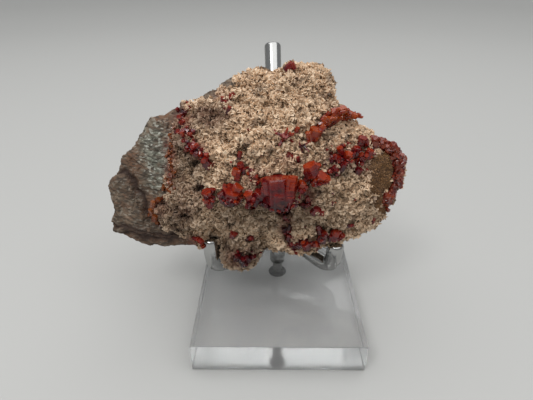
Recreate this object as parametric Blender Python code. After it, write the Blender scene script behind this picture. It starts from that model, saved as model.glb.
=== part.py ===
"""Vanadinite crystals on a druse-covered matrix, held on a metal prong stand with a clear acrylic block.

Metres, +Z up. The origin is the centre of the block's underside, +X is the viewer's right, and the
crystal face looks towards -Y and a little up. Lengths below are millimetres and pass through MM.
"""

import math
import random

import bmesh
import bpy
import numpy as np
from mathutils import Matrix, Vector, noise
from mathutils.bvhtree import BVHTree

MM = 0.001
GAP = 0.3
COS_30 = math.cos(math.radians(30))
SEED = 11

# Stand
BLOCK_SIDE = 40.0
BLOCK_HEIGHT = 8.0
BLOCK_EDGE = 0.15
ROD_RADIUS = 2.1
ROD_ROUNDING = 0.7
ROD_BEND = 4.0
POST_ROUTE = ((0.2, 10.0, BLOCK_HEIGHT + GAP), (0.2, 10.0, 11.6), (-1.6, 31.0, 63.0))
RIGHT_ROUTE = ((2.7, 10.1, 16.4), (14.0, 1.4, 12.6), (14.5, 0.9, 21.0))
LEFT_ROUTE = ((-2.6, 10.2, 16.4), (-16.3, 1.0, 12.6), (-16.9, 0.9, 22.6))
SCREW_RADIUS = 1.0
SCREW_HEAD_RADIUS = 2.3
SCREW_HEAD_HEIGHT = 1.4
SCREW_TOP = 11.2

# Display frame: the specimen's face is laid out on a plane seen from DISPLAY_EYE, in millimetres to
# the right (u) and up (w) of the line of sight. The plane leans back with the post.
DISPLAY_EYE = Vector((-3.2, -79.0, 81.9))
DISPLAY_PITCH = math.radians(31.2)
DISPLAY_DISTANCE = 97.0
DISPLAY_LEAN = 0.154
ROCK_CENTRE = (-2.8, 8.5)

# The specimen's outline on that plane, clockwise from its left tip
OUTLINE = (
    (-38.4, 3.2), (-38.0, 4.9), (-36.0, 6.8), (-35.3, 9.7), (-32.1, 13.1), (-30.2, 16.5),
    (-28.3, 19.9), (-24.6, 20.6), (-23.4, 21.8), (-19.5, 22.8), (-16.4, 24.5), (-14.2, 26.2),
    (-11.5, 26.7), (-11.0, 28.4), (-7.4, 30.1), (-4.0, 31.5), (-0.6, 32.5), (2.5, 31.3),
    (5.7, 33.2), (8.9, 33.0), (13.0, 33.5), (15.6, 31.5), (16.9, 29.1), (16.6, 25.0),
    (17.8, 23.0), (21.2, 19.6), (24.1, 17.5), (26.3, 15.5), (29.1, 14.6), (31.6, 13.0),
    (33.5, 10.2), (34.0, 6.8), (33.1, 3.9), (31.6, 1.9), (31.6, 0.0), (29.5, -1.9),
    (29.0, -3.9), (26.8, -6.5), (23.2, -8.2), (19.0, -9.7), (14.7, -11.2), (11.0, -13.1),
    (7.6, -13.1), (4.5, -12.6), (-0.1, -11.6), (-1.1, -12.4), (-1.2, -14.6), (-3.0, -16.5),
    (-5.9, -17.5), (-8.9, -16.5), (-11.0, -13.1), (-13.0, -10.9), (-15.6, -10.9), (-19.8, -10.9),
    (-22.9, -11.2), (-28.3, -10.9), (-31.4, -10.2), (-34.1, -8.7), (-37.2, -7.8), (-37.5, -5.3),
    (-36.7, -2.4), (-37.7, 0.0),
)
FRONT_ROUND = (3.0, 0.55)
BACK_ROUND = (2.1, 0.7)
BACK_HEIGHT = 11.0

# How far the face stands out of that plane, at chosen places: (u, w, height)
RELIEF = (
    (-13.7, 1.2, 10.5), (-8.1, 1.2, 11.8), (-2.1, 1.7, 12.2), (3.8, 2.4, 13.0), (8.9, 3.2, 12.2),
    (12.5, 6.8, 11.8), (19.0, 10.2, 10.6), (25.1, 11.6, 9.0), (-16.1, 12.1, 9.2), (-6.4, 14.6, 10.6),
    (3.3, 14.6, 11.2), (13.0, 15.8, 10.2), (21.5, 17.0, 6.6), (-10.1, 21.8, 7.4), (-1.6, 25.5, 7.4),
    (8.1, 26.7, 7.8), (14.2, 27.9, 6.6), (-12.5, -3.6, 8.6), (-4.0, -4.9, 8.8), (3.8, -6.1, 7.2),
    (8.1, -6.1, 9.2), (15.4, -3.6, 9.8), (22.7, 0.0, 9.0), (28.7, 4.9, 6.8), (-6.4, -9.7, 7.2),
    (8.1, -10.9, 6.0), (17.8, -7.8, 6.4), (-5.2, -14.1, 5.6), (-19.8, 2.4, 9.4), (-21.0, 14.6, 7.8),
    (-24.6, 9.7, 7.2), (-28.3, 0.0, 6.4), (-33.1, 0.0, 4.6), (-28.3, -7.3, 5.4), (-19.8, -6.1, 8.2),
)
RELIEF_REACH = 4.2
# Hollows and knobs on the face: (u, w, radius, height)
SPOTS = (
    (-18.0, 8.5, 2.0, -2.4), (-16.2, 4.2, 1.9, -2.2), (-12.4, 20.2, 2.2, -1.7), (-17.6, 20.4, 1.4, -1.0),
    (-10.4, 14.8, 1.6, -1.0), (4.6, -2.8, 1.6, -2.4), (5.0, -6.8, 1.5, -2.6), (5.2, -10.0, 1.4, -2.0),
    (1.0, -1.0, 1.8, -1.6), (10.6, 0.2, 1.5, -2.4), (12.4, 4.2, 1.3, -1.6), (18.4, 7.2, 1.8, -1.8),
    (22.2, 8.6, 1.6, -1.6), (-19.6, -4.0, 1.6, -1.2), (-17.6, -5.4, 1.8, -1.5), (-13.2, -9.2, 2.7, -6.5),
    (-11.2, -12.0, 2.2, -3.0), (9.6, 26.4, 1.4, -0.9), (5.4, 28.8, 2.0, 0.9), (12.0, 30.4, 2.4, 0.8),
    (-5.0, 29.0, 2.4, 0.8), (15.0, 20.6, 1.6, 0.9), (20.2, 15.4, 1.8, -0.8), (-2.2, 12.0, 2.2, 0.8),
    (-8.8, 9.0, 1.8, 0.7), (14.4, 0.6, 2.2, 0.9), (19.8, -3.0, 2.2, 0.7), (-9.0, -4.6, 2.0, 0.6),
    (28.6, 6.0, 3.2, 1.0), (-6.6, -13.6, 2.4, 1.0), (9.4, -8.6, 2.2, 0.8), (-25.2, -1.6, 1.8, 0.7),
)
SPOT_SHARPNESS = 1.0
# Left edge of the druse crust: its u at each w, from the top down
CRUST_EDGE_W = (22.3, 19.4, 17.0, 12.1, 4.9, 0.9, -0.3, -1.5, -4.4, -6.8, -8.7, -10.4)
CRUST_EDGE_U = (-20.0, -21.7, -22.9, -23.6, -24.4, -23.4, -26.3, -27.5, -27.3, -24.9, -19.8, -16.9)
CRUST_THICKNESS = 1.0
# Ledges of the bare host rock: a line (u, w) to (u, w), and the drop on its right-hand side
HOST_LEDGES = (
    ((-27.0, -9.2), (-35.6, 9.6), -1.7, 0.5),
    ((-18.0, -9.2), (-37.0, -6.0), -1.2, 0.4),
    ((-22.0, -7.4), (-31.0, -7.0), -0.9, 0.3),
)
ROCK_LEVELS = 6
ROCK_KEEP = 0.15
CRUST_NOISE = 0.55
HOST_NOISE = 0.18
BLADE_COUNT = 26
BLADE_SIZE = (0.9, 0.32, 1.7)

# Broken planes under and behind the rock: a point on the plane, its outward normal, the cut's size
UNDERSIDE = (
    ((-1.0, 3.6, 20.4), (0.03, 0.3, -1.0)),
    ((-24.0, 4.0, 22.6), (-0.22, 0.55, -1.0)),
    ((20.0, 6.0, 22.2), (0.34, 0.5, -1.0)),
)
LOBE_BACK = ((-6.0, 3.2, 16.0), (0.0, 1.0, -0.25))
BACK_FACES = (
    ((-0.4, 15.4, 30.0), (0.03, 1.0, -0.41)),
    ((-19.0, 16.0, 31.0), (-0.34, 1.0, -0.20)),
    ((-32.0, 14.2, 35.0), (-0.75, 1.0, -0.02)),
    ((15.0, 16.4, 34.0), (0.36, 1.0, -0.22)),
    ((25.0, 14.6, 38.0), (0.80, 1.0, 0.05)),
    ((-4.0, 13.6, 24.4), (-0.06, 0.8, -0.9)),
    ((-16.0, 20.0, 47.0), (-0.30, 1.0, 0.42)),
    ((4.0, 22.6, 60.0), (-0.1, 1.0, 0.55)),
)
CUT_SIZE = 90.0

# Crystals: (u, w, out of the surface, axis right, axis up, axis out, radius, length)
CLUSTERS = {
    "row_left_crystal": (
        (-13.5, 0.9, 0.6, -0.3, 1.0, 0.5, 1.5, 3.4), (-12.9, -0.9, 0.4, 0.4, 0.9, 0.3, 1.2, 2.2),
    ),
    "row_second_crystal": (
        (-8.5, 1.0, 1.0, 0.1, 1.0, 0.55, 2.7, 4.4), (-7.4, 1.9, 0.9, 0.25, 0.9, 0.5, 1.7, 3.2),
        (-9.2, 3.4, 0.3, -0.3, 1.0, 0.5, 1.3, 2.4),
    ),
    "row_main_crystals": (
        (3.4, 1.9, 1.6, -0.08, 1.0, 0.42, 3.9, 6.0), (6.2, 0.6, 1.5, 0.2, 1.0, 0.3, 2.1, 4.6),
        (6.4, 4.6, 1.2, 0.25, 1.0, 0.4, 1.9, 3.2), (1.0, 3.6, 0.8, -0.2, 1.0, 0.5, 1.8, 3.0),
        (-1.6, 1.2, 1.0, 0.1, 1.0, 0.5, 2.1, 3.6), (-3.3, 1.1, 0.9, -0.05, 1.0, 0.6, 1.7, 3.4),
        (8.2, 3.2, 0.7, 0.6, 0.7, 0.5, 1.5, 2.8), (9.6, 2.6, 0.5, 0.3, 0.9, 0.6, 1.1, 2.2),
    ),
    "pair_crystals": (
        (11.4, 7.6, 1.4, 0.25, 0.4, 1.0, 2.1, 3.2), (13.2, 5.4, 1.2, 0.55, -0.3, 0.9, 2.0, 3.2),
        (14.6, 4.8, 0.8, 0.8, -0.2, 0.6, 1.3, 2.8),
    ),
    "wing_crystals": (
        (18.2, 21.4, 1.2, 0.9, 0.35, 0.2, 1.9, 3.8), (20.6, 21.0, 1.4, 1.0, -0.25, 0.15, 1.2, 4.4),
        (16.2, 20.4, 0.8, 0.6, 0.8, 0.3, 1.8, 4.0), (14.2, 18.6, 0.4, 0.6, 0.8, 0.3, 1.2, 3.6),
        (11.9, 16.1, 0.7, -0.2, 0.8, 0.7, 1.7, 2.8), (10.6, 15.6, 0.4, 0.3, 1.0, 0.5, 1.2, 2.6),
    ),
    "right_upper_crystals": (
        (17.0, 10.9, 0.4, 0.3, 0.8, 0.7, 1.3, 2.4), (18.3, 9.8, 0.4, -0.4, 0.9, 0.6, 1.4, 2.4),
        (20.0, 10.6, 0.6, 0.5, 0.6, 0.8, 1.5, 2.6), (21.8, 11.6, 0.5, 0.2, 0.9, 0.6, 1.4, 2.6),
        (23.6, 11.4, 0.5, -0.5, 0.7, 0.7, 1.4, 2.6), (25.3, 11.6, 0.4, 0.5, 0.8, 0.6, 1.2, 2.4),
    ),
    "over_row_crystals": (
        (-7.0, 7.2, 0.4, 0.3, 0.9, 0.6, 1.1, 2.2), (-5.7, 8.3, 0.4, -0.3, 0.9, 0.5, 1.0, 2.2),
        (-6.7, 6.3, 0.2, 0.2, 1.0, 0.3, 0.8, 2.0),
    ),
    "left_pocket": (
        (-26.4, -1.0, 0.4, 0.7, 0.4, 0.7, 1.2, 2.6), (-27.1, -2.6, 0.3, -0.3, 0.9, 0.6, 1.0, 2.4),
        (-26.4, -4.4, 0.2, 0.3, 0.9, 0.5, 1.0, 2.2),
    ),
    "lower_mid_crystals": (
        (9.6, -10.6, 0.4, 0.6, 0.5, 0.8, 1.6, 2.6), (11.0, -9.8, 0.4, -0.3, 0.8, 0.7, 1.2, 2.4),
        (12.6, -10.4, 0.5, 0.9, 0.1, 0.6, 1.1, 2.8),
        (13.8, -8.2, 0.4, 0.15, 1.0, 0.4, 1.2, 3.6), (13.2, -6.9, 0.2, -0.2, 1.0, 0.5, 0.9, 2.0),
    ),
    "prong_side_crystals": (
        (16.6, -8.0, 0.5, 0.3, 0.8, 0.6, 1.4, 2.8), (17.9, -8.9, 0.4, 0.6, 0.6, 0.6, 1.1, 2.4),
    ),
    "lobe_crystals": (
        (-6.2, -14.0, 0.4, 0.4, 0.8, 0.7, 1.5, 2.4), (-4.4, -14.3, 0.4, -0.5, 0.6, 0.8, 1.4, 2.4),
        (-3.2, -13.9, 0.3, 0.8, 0.5, 0.5, 1.0, 2.2), (-5.2, -15.2, 0.3, 0.7, 0.3, 0.7, 1.1, 2.2),
    ),
}
# Small crystals fused to the matrix, written the same way
FUSED = {
    "star_crystals": (
        (4.6, 15.6, 0.2, 1.0, 0.4, 0.4, 0.9, 3.4), (4.2, 15.2, 0.2, -0.5, 1.0, 0.4, 0.8, 2.8),
    ),
    "top_left_spots": (
        (-9.1, 24.8, 0.3, 0.6, 0.8, 0.5, 0.9, 2.4), (-9.9, 23.4, 0.3, 0.1, 1.0, 0.4, 0.9, 2.6),
        (-9.2, 22.0, 0.2, 0.4, 0.8, 0.5, 0.8, 2.2), (-7.6, 25.5, 0.3, 0.9, 0.5, 0.4, 0.8, 2.2),
    ),
    "top_spot": (
        (5.6, 32.2, 0.5, 0.8, 0.6, 0.4, 1.1, 2.6), (6.4, 32.5, 0.4, -0.5, 0.9, 0.4, 0.9, 1.8),
    ),
    "right_spot_crystals": (
        (22.4, 14.8, 0.4, 0.3, 0.8, 0.7, 1.4, 2.2), (23.6, 14.4, 0.4, -0.4, 0.9, 0.6, 1.2, 2.2),
    ),
    "right_lower_crystals": (
        (16.3, 7.2, 0.0, 0.8, 0.5, 0.6, 1.0, 2.4), (17.9, 8.2, 0.0, 0.3, 0.8, 0.6, 1.1, 2.2),
        (19.0, 7.9, 0.0, 0.5, 0.7, 0.7, 1.0, 2.0),
    ),
    "mid_right_crystals": (
        (12.2, -2.6, 0.2, 0.6, 0.6, 0.7, 1.2, 2.4), (13.3, -3.1, 0.2, 0.9, -0.1, 0.5, 0.9, 2.4),
    ),
    "edge_crystals": (
        (-16.9, -9.8, 0.5, 0.7, -0.5, 0.5, 1.0, 3.0), (-15.9, -10.9, 0.7, 0.6, -0.6, 0.5, 0.9, 2.2),
        (-17.9, -9.5, 0.3, 1.0, -0.1, 0.5, 0.9, 2.0),
    ),
}
# Veins of small crystals along a line: (u, w) points, then crystal radius and spacing
VEINS = {
    "upper_vein": (((-19.4, 22.4), (-20.4, 20.2), (-20.8, 18.4), (-20.4, 16.6), (-19.4, 14.8)), 0.9, 1.4),
    "branch_vein": (((-18.6, 13.4), (-16.6, 12.0), (-15.2, 10.4), (-13.8, 9.4)), 0.9, 1.4),
    "left_vein": (((-22.6, 16.6), (-22.9, 13.0), (-23.8, 9.6), (-22.6, 6.8), (-22.9, 3.6), (-23.2, 0.8)), 0.8, 1.6),
}
RIM_CRUST = (
    ((26.4, 14.0), (29.0, 13.1), (30.9, 11.0), (32.0, 8.0), (31.8, 4.8), (30.4, 1.8), (29.4, 0.2)), 1.15, 1.9,
)
VEIN_ROOT = 0.7
VEIN_ROD_OVERLAP = 1.5
VEIN_PROPORTIONS = (1.7, 2.5)
VEIN_JITTER = 0.35
ROOT_DEPTH = 0.3
CLEAR_OF_CLUSTER = 0.7

# Colours, as linear RGB, with roughness and metallic
COLOURS = {
    "acrylic": ((0.90, 0.93, 0.93), 0.05, 0.0),
    "steel": ((0.55, 0.56, 0.57), 0.25, 1.0),
    "rock": ((0.42, 0.31, 0.22), 0.85, 0.0),
    "vanadinite": ((0.42, 0.03, 0.01), 0.18, 0.0),
}


def clear_scene():
    for scene_object in list(bpy.data.objects):
        bpy.data.objects.remove(scene_object, do_unlink=True)


def new_collection(name, hidden):
    collection = bpy.data.collections.new(name)
    bpy.context.scene.collection.children.link(collection)
    collection.hide_render = hidden
    return collection


def material(name):
    colour, roughness, metallic = COLOURS[name]
    made = bpy.data.materials.new(name)
    made.use_nodes = True
    shader = made.node_tree.nodes["Principled BSDF"]
    shader.inputs["Base Color"].default_value = (*colour, 1.0)
    shader.inputs["Roughness"].default_value = roughness
    shader.inputs["Metallic"].default_value = metallic
    if name == "acrylic":
        shader.inputs["Transmission Weight"].default_value = 1.0
        shader.inputs["IOR"].default_value = 1.49
    return made


def mesh_object(name, shape, collection, surface=None):
    """A named object from a bmesh, which it frees."""
    mesh = bpy.data.meshes.new(name)
    shape.to_mesh(mesh)
    shape.free()
    made = bpy.data.objects.new(name, mesh)
    collection.objects.link(made)
    if surface:
        mesh.materials.append(surface)
    return made


def cutter(name, shape):
    made = mesh_object(name, shape, CUTTERS)
    made.hide_render = True
    made.display_type = "WIRE"
    return made


def boolean(target, other, operation, crossing=False):
    """crossing: the other mesh holds solids that cross each other."""
    step = target.modifiers.new(other.name, "BOOLEAN")
    step.operation = operation
    step.solver = "EXACT"
    step.use_self = crossing
    step.object = other


# ---------------------------------------------------------------- stand


def bent_route(corners):
    """The corners with each inner one rounded by a quadratic curve."""
    points = [Vector(corners[0])]
    for before, corner, after in zip(corners, corners[1:], corners[2:]):
        corner = Vector(corner)
        into = Vector(before) - corner
        out = Vector(after) - corner
        reach = min(ROD_BEND, into.length * 0.45, out.length * 0.45)
        first = corner + into.normalized() * reach
        last = corner + out.normalized() * reach
        for step in range(7):
            t = step / 6
            points.append(first * (1 - t) ** 2 + corner * 2 * t * (1 - t) + last * t * t)
    end = Vector(corners[-1])
    inward = (points[-1] - end).normalized()
    rounded = [(end + inward * ROD_ROUNDING, 1.0), (end + inward * 0.25, 0.88), (end, 0.6)]
    return [(point, 1.0) for point in points] + rounded


def rod(name, corners, surface, grow=0.0):
    """A round rod along a bent route, made a mesh so that it can cut and be cut."""
    curve = bpy.data.curves.new(name + "_route", "CURVE")
    curve.dimensions = "3D"
    curve.bevel_depth = (ROD_RADIUS + grow) * MM
    curve.bevel_resolution = 3
    curve.use_fill_caps = True
    spline = curve.splines.new("POLY")
    route = bent_route(corners)
    spline.points.add(len(route) - 1)
    for point, (place, radius) in zip(spline.points, route):
        point.co = (*(place * MM), 1.0)
        point.radius = radius if not grow else 1.0
    guide = bpy.data.objects.new(name + "_route", curve)
    bpy.context.scene.collection.objects.link(guide)
    graph = bpy.context.evaluated_depsgraph_get()
    mesh = bpy.data.meshes.new_from_object(guide.evaluated_get(graph))
    shape = bmesh.new()
    shape.from_mesh(mesh)
    bmesh.ops.remove_doubles(shape, verts=shape.verts, dist=0.00001)
    bmesh.ops.recalc_face_normals(shape, faces=shape.faces)
    bpy.data.objects.remove(guide, do_unlink=True)
    if grow:
        return cutter(name, shape)
    made = mesh_object(name, shape, PARTS, surface)
    made.data.shade_smooth()
    made.data.set_sharp_from_angle(angle=math.radians(40))
    return made


def turned(profile, centre):
    """A solid turned about a vertical line: profile holds (radius, z) from the bottom up."""
    shape = bmesh.new()
    for (low_radius, low), (high_radius, high) in zip(profile, profile[1:]):
        if high - low < 1e-6:
            continue
        place = Matrix.Translation(Vector((centre[0], centre[1], (low + high) / 2)) * MM)
        bmesh.ops.create_cone(
            shape, cap_ends=True, segments=24, radius1=low_radius * MM, radius2=high_radius * MM,
            depth=(high - low) * MM, matrix=place,
        )
    return shape


def make_stand():
    steel = material("steel")
    centre = POST_ROUTE[0][:2]
    shape = bmesh.new()
    size = Matrix.Diagonal((BLOCK_SIDE * MM, BLOCK_SIDE * MM, BLOCK_HEIGHT * MM, 1.0))
    bmesh.ops.create_cube(shape, size=1.0, matrix=Matrix.Translation((0, 0, BLOCK_HEIGHT * MM / 2)) @ size)
    bmesh.ops.bevel(
        shape, geom=shape.edges[:], offset=BLOCK_EDGE * MM, segments=1, affect="EDGES", profile=0.5
    )
    block = mesh_object("base_block", shape, PARTS, material("acrylic"))

    head = SCREW_HEAD_HEIGHT
    hole = cutter("screw_hole", turned(((SCREW_RADIUS + GAP, -1.0), (SCREW_RADIUS + GAP, 12.0)), centre))
    sink = cutter(
        "screw_countersink",
        turned(((SCREW_HEAD_RADIUS + 2 * GAP, -0.6), (SCREW_RADIUS + GAP, head + 2 * GAP)), centre),
    )
    boolean(block, hole, "DIFFERENCE")
    boolean(block, sink, "DIFFERENCE")

    screw = mesh_object(
        "base_screw", turned(((SCREW_HEAD_RADIUS, GAP), (SCREW_RADIUS, head + GAP)), centre), PARTS, steel
    )
    shank = cutter("screw_shank", turned(((SCREW_RADIUS, head), (SCREW_RADIUS, SCREW_TOP)), centre))
    boolean(screw, shank, "UNION")
    slot = bmesh.new()
    slot_size = Matrix.Diagonal((6.0 * MM, 0.6 * MM, 0.6 * MM, 1.0))
    slot_place = Matrix.Translation(Vector((centre[0], centre[1], GAP)) * MM)
    bmesh.ops.create_cube(slot, size=1.0, matrix=slot_place @ slot_size)
    boolean(screw, cutter("screw_slot", slot), "DIFFERENCE")

    post = rod("post", POST_ROUTE, steel)
    post_bore = turned(((SCREW_RADIUS + GAP, BLOCK_HEIGHT), (SCREW_RADIUS + GAP, SCREW_TOP + GAP)), centre)
    boolean(post, cutter("post_bore", post_bore), "DIFFERENCE")
    rod("left_prong", LEFT_ROUTE, steel)
    rod("right_prong", RIGHT_ROUTE, steel)


# ---------------------------------------------------------------- display frame


def display_axes():
    forward = Vector((0.0, math.cos(DISPLAY_PITCH), -math.sin(DISPLAY_PITCH)))
    right = Vector((1.0, 0.0, 0.0))
    return right, right.cross(forward), forward


def plane_depth(w):
    return DISPLAY_DISTANCE - DISPLAY_LEAN * (w - ROCK_CENTRE[1])


def sight_line(u, w):
    """From the eye through (u, w), one unit deep."""
    right, up, forward = display_axes()
    return forward + right * (u / DISPLAY_DISTANCE) + up * (w / DISPLAY_DISTANCE)


def smooth_step(value):
    value = min(1.0, max(0.0, value))
    return value * value * (3 - 2 * value)


# ---------------------------------------------------------------- matrix


def crust_cover(u, w):
    """1 on the druse crust, 0 on the bare host rock to its left."""
    edge = np.interp(-w, [-value for value in CRUST_EDGE_W], CRUST_EDGE_U)
    return smooth_step((u - edge) / 0.8)


def face_height(u, w):
    """Height of the display face over its plane before it is rounded off at the outline."""
    total = 0.0
    height = 0.0
    for place_u, place_w, place_height in RELIEF:
        weight = math.exp(-((u - place_u) ** 2 + (w - place_w) ** 2) / (2 * RELIEF_REACH**2)) + 1e-9
        total += weight
        height += weight * place_height
    height /= total
    for place_u, place_w, radius, rise in SPOTS:
        distance = ((u - place_u) ** 2 + (w - place_w) ** 2) / radius**2
        height += rise * math.exp(-distance * SPOT_SHARPNESS)
    cover = crust_cover(u, w)
    for (u1, w1), (u2, w2), drop, width in HOST_LEDGES:
        length = math.hypot(u2 - u1, w2 - w1)
        beyond = ((u2 - u1) * (w - w1) - (w2 - w1) * (u - u1)) / length
        height += drop * smooth_step(-beyond / width + 0.5) * (1 - cover)
    return height + CRUST_THICKNESS * cover


def outline_radius(angle):
    return float(np.interp(angle, OUTLINE_ANGLES, OUTLINE_RADII, period=2 * math.pi))


def rock_point(direction):
    """Where a point of the unit sphere goes: its rim follows the outline, its front the relief."""
    angle = math.atan2(direction.y, direction.x)
    share = min(1.0, math.hypot(direction.x, direction.y))
    radius = outline_radius(angle) * share
    u = ROCK_CENTRE[0] + radius * math.cos(angle)
    w = ROCK_CENTRE[1] + radius * math.sin(angle)
    sight = sight_line(u, w)
    on_plane = DISPLAY_EYE + sight * plane_depth(w)
    if direction.z >= 0:
        power, root = FRONT_ROUND
        round_off = (1 - share**power) ** root
        rough = HOST_NOISE + (CRUST_NOISE - HOST_NOISE) * crust_cover(u, w)
        grain = noise.noise(Vector((u, w, 3.0)) * 0.55) + 0.7 * noise.noise(Vector((u, w, 9.0)) * 1.1)
        return on_plane - sight * (face_height(u, w) * round_off + rough * grain * min(1.0, 3 * round_off))
    power, root = BACK_ROUND
    round_off = (1 - share**power) ** root
    forward = display_axes()[2]
    grain = noise.noise(Vector((u, w, 20.0)) * 0.12) * 3.4 + noise.noise(Vector((u, w, 30.0)) * 0.33)
    return on_plane + forward * (BACK_HEIGHT + grain) * round_off


def half_space(name, place, normal):
    """A large box whose near face is the plane at place, on the side the normal points to."""
    normal = Vector(normal).normalized()
    turn = normal.to_track_quat("Z", "Y").to_matrix().to_4x4()
    centre = Vector(place) + normal * CUT_SIZE / 2
    shape = bmesh.new()
    bmesh.ops.create_cube(shape, size=CUT_SIZE * MM, matrix=Matrix.Translation(centre * MM) @ turn)
    return cutter(name, shape)


def make_rock_body():
    shape = bmesh.new()
    bmesh.ops.create_icosphere(shape, subdivisions=ROCK_LEVELS, radius=1.0)
    for vertex in shape.verts:
        vertex.co = rock_point(vertex.co) * MM
    bmesh.ops.recalc_face_normals(shape, faces=shape.faces)
    return mesh_object("matrix", shape, PARTS, material("rock"))


def under_and_back_cuts(rock):
    """Broken faces under and behind the rock: over the prongs, and along the post."""
    lobe = half_space("lobe_keep", LOBE_BACK[0], [-value for value in LOBE_BACK[1]])
    for index, (place, normal) in enumerate(UNDERSIDE):
        under = half_space(f"underside_cut_{index}", place, normal)
        boolean(under, lobe, "DIFFERENCE")
        boolean(rock, under, "DIFFERENCE")
    for index, (place, normal) in enumerate(BACK_FACES):
        boolean(rock, half_space(f"back_cut_{index}", place, normal), "DIFFERENCE")


def surface_tree(scene_object):
    graph = bpy.context.evaluated_depsgraph_get()
    return BVHTree.FromObject(scene_object, graph)


def on_surface(tree, u, w):
    """The point of the display face behind (u, w) and its normal, in millimetres."""
    sight = sight_line(u, w).normalized()
    hit, normal, _, _ = tree.ray_cast(DISPLAY_EYE * MM, sight)
    if hit is None:
        near, normal, _, _ = tree.find_nearest((DISPLAY_EYE + sight_line(u, w) * plane_depth(w)) * MM)
        hit = near
    return hit / MM, normal


# ---------------------------------------------------------------- crystals


def add_prism(shape, centre, axis, radius, length, spin):
    turn = axis.normalized().to_track_quat("Z", "Y").to_matrix().to_4x4()
    place = Matrix.Translation(centre * MM) @ turn @ Matrix.Rotation(spin, 4, "Z")
    bmesh.ops.create_cone(
        shape, cap_ends=True, segments=6, radius1=radius * MM, radius2=radius * MM,
        depth=length * MM, matrix=place,
    )


def fused_shapes(shape, crystals):
    for centre, axis, radius, length, spin in crystals:
        add_prism(shape, centre, axis, radius, length, spin)


def crystal_shapes(name, crystals, surface):
    """Makes the cluster's solid, and returns a cutter 0.3 mm larger all round for its socket."""
    for grow in (0.0, GAP):
        first = bmesh.new()
        rest = bmesh.new()
        for index, (centre, axis, radius, length, spin) in enumerate(crystals):
            target = rest if index else first
            add_prism(target, centre, axis, radius + grow / COS_30, length + 2 * grow, spin)
        if grow:
            solid = cutter(name + "_socket", first)
            others = cutter(name + "_socket_others", rest)
        else:
            solid = mesh_object(name, first, PARTS, surface)
            others = cutter(name + "_others", rest)
        boolean(solid, others, "UNION", crossing=True)
    return solid


def cluster_crystals(tree, rows, rng, rooted=True):
    right, up, forward = display_axes()
    crystals = []
    for u, w, out, axis_right, axis_up, axis_out, radius, length in rows:
        hit, _ = on_surface(tree, u, w)
        centre = hit - forward * out
        axis = right * axis_right + up * axis_up - forward * axis_out
        crystals.append((centre, axis, radius, length, rng.uniform(0, math.pi / 3)))
    roots = []
    if not rooted:
        return crystals
    for before, after in zip(crystals, crystals[1:]):
        link = after[0] - before[0]
        middle = (before[0] + after[0]) / 2 + forward * ROOT_DEPTH
        radius = VEIN_ROOT * min(before[2], after[2])
        if link.length > before[2] + after[2] - radius:
            roots.append((middle, link, radius, link.length, 0.0))
    return crystals + roots


def vein_crystals(tree, line, radius, spacing, rng, rooted=False):
    """Small crystals along a line on the surface and, if rooted, rods that join them under it."""
    right, up, forward = display_axes()
    places = [Vector(point) for point in line]
    lengths = [0.0]
    for before, after in zip(places, places[1:]):
        lengths.append(lengths[-1] + (after - before).length)
    count = max(2, round(lengths[-1] / spacing))
    along = np.linspace(0, lengths[-1], count + 1)
    us = np.interp(along, lengths, [place.x for place in places])
    ws = np.interp(along, lengths, [place.y for place in places])
    hits = [on_surface(tree, u, w)[0] for u, w in zip(us, ws)]
    crystals = []
    for before, after in zip(hits, hits[1:]) if rooted else ():
        axis = after - before
        centre = (before + after) / 2 + forward * ROOT_DEPTH
        crystals.append((centre, axis, VEIN_ROOT * radius, axis.length * VEIN_ROD_OVERLAP, rng.uniform(0, 1)))
    for hit in hits:
        axis = right * rng.uniform(-0.8, 0.8) + up * rng.uniform(0.2, 1.0) - forward * rng.uniform(0.3, 0.9)
        shift = right * rng.uniform(-1, 1) + up * rng.uniform(-1, 1)
        size = radius * rng.uniform(0.8, 1.25)
        centre = hit + shift * VEIN_JITTER * radius
        crystals.append((centre, axis, size, size * rng.uniform(*VEIN_PROPORTIONS), rng.uniform(0, 1)))
    return crystals


def near_cluster(u, w):
    for rows in CLUSTERS.values():
        for crystal_u, crystal_w, _, _, _, _, radius, length in rows:
            if math.hypot(u - crystal_u, w - crystal_w) < (radius + length / 2) / 2 + CLEAR_OF_CLUSTER:
                return True
    return False


def add_blades(shape, tree, rng):
    """Small bladed crystals scattered over the crust, for fusing to it."""
    made = 0
    while made < BLADE_COUNT:
        angle = rng.uniform(0, 2 * math.pi)
        share = math.sqrt(rng.uniform(0.0, 0.80))
        u = ROCK_CENTRE[0] + outline_radius(angle) * share * math.cos(angle)
        w = ROCK_CENTRE[1] + outline_radius(angle) * share * math.sin(angle)
        if crust_cover(u, w) < 1.0 or near_cluster(u, w):
            continue
        hit, normal = on_surface(tree, u, w)
        tilt = Vector([rng.uniform(-0.7, 0.7) for _ in range(3)])
        turn = (normal + tilt).normalized().to_track_quat("Z", "Y").to_matrix().to_4x4()
        spin = Matrix.Rotation(rng.uniform(0, math.pi), 4, "Z")
        size = Vector(BLADE_SIZE) * rng.uniform(0.8, 1.35) * MM
        place = Matrix.Translation(hit * MM) @ turn @ spin @ Matrix.Diagonal((*(size * 1.6), 1.0))
        bmesh.ops.create_cube(shape, size=1.0, matrix=place)
        made += 1


def island(start):
    """All faces joined to the one given."""
    found = {start}
    waiting = [start]
    while waiting:
        for edge in waiting.pop().edges:
            for face in edge.link_faces:
                if face not in found:
                    found.add(face)
                    waiting.append(face)
    return found


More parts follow.
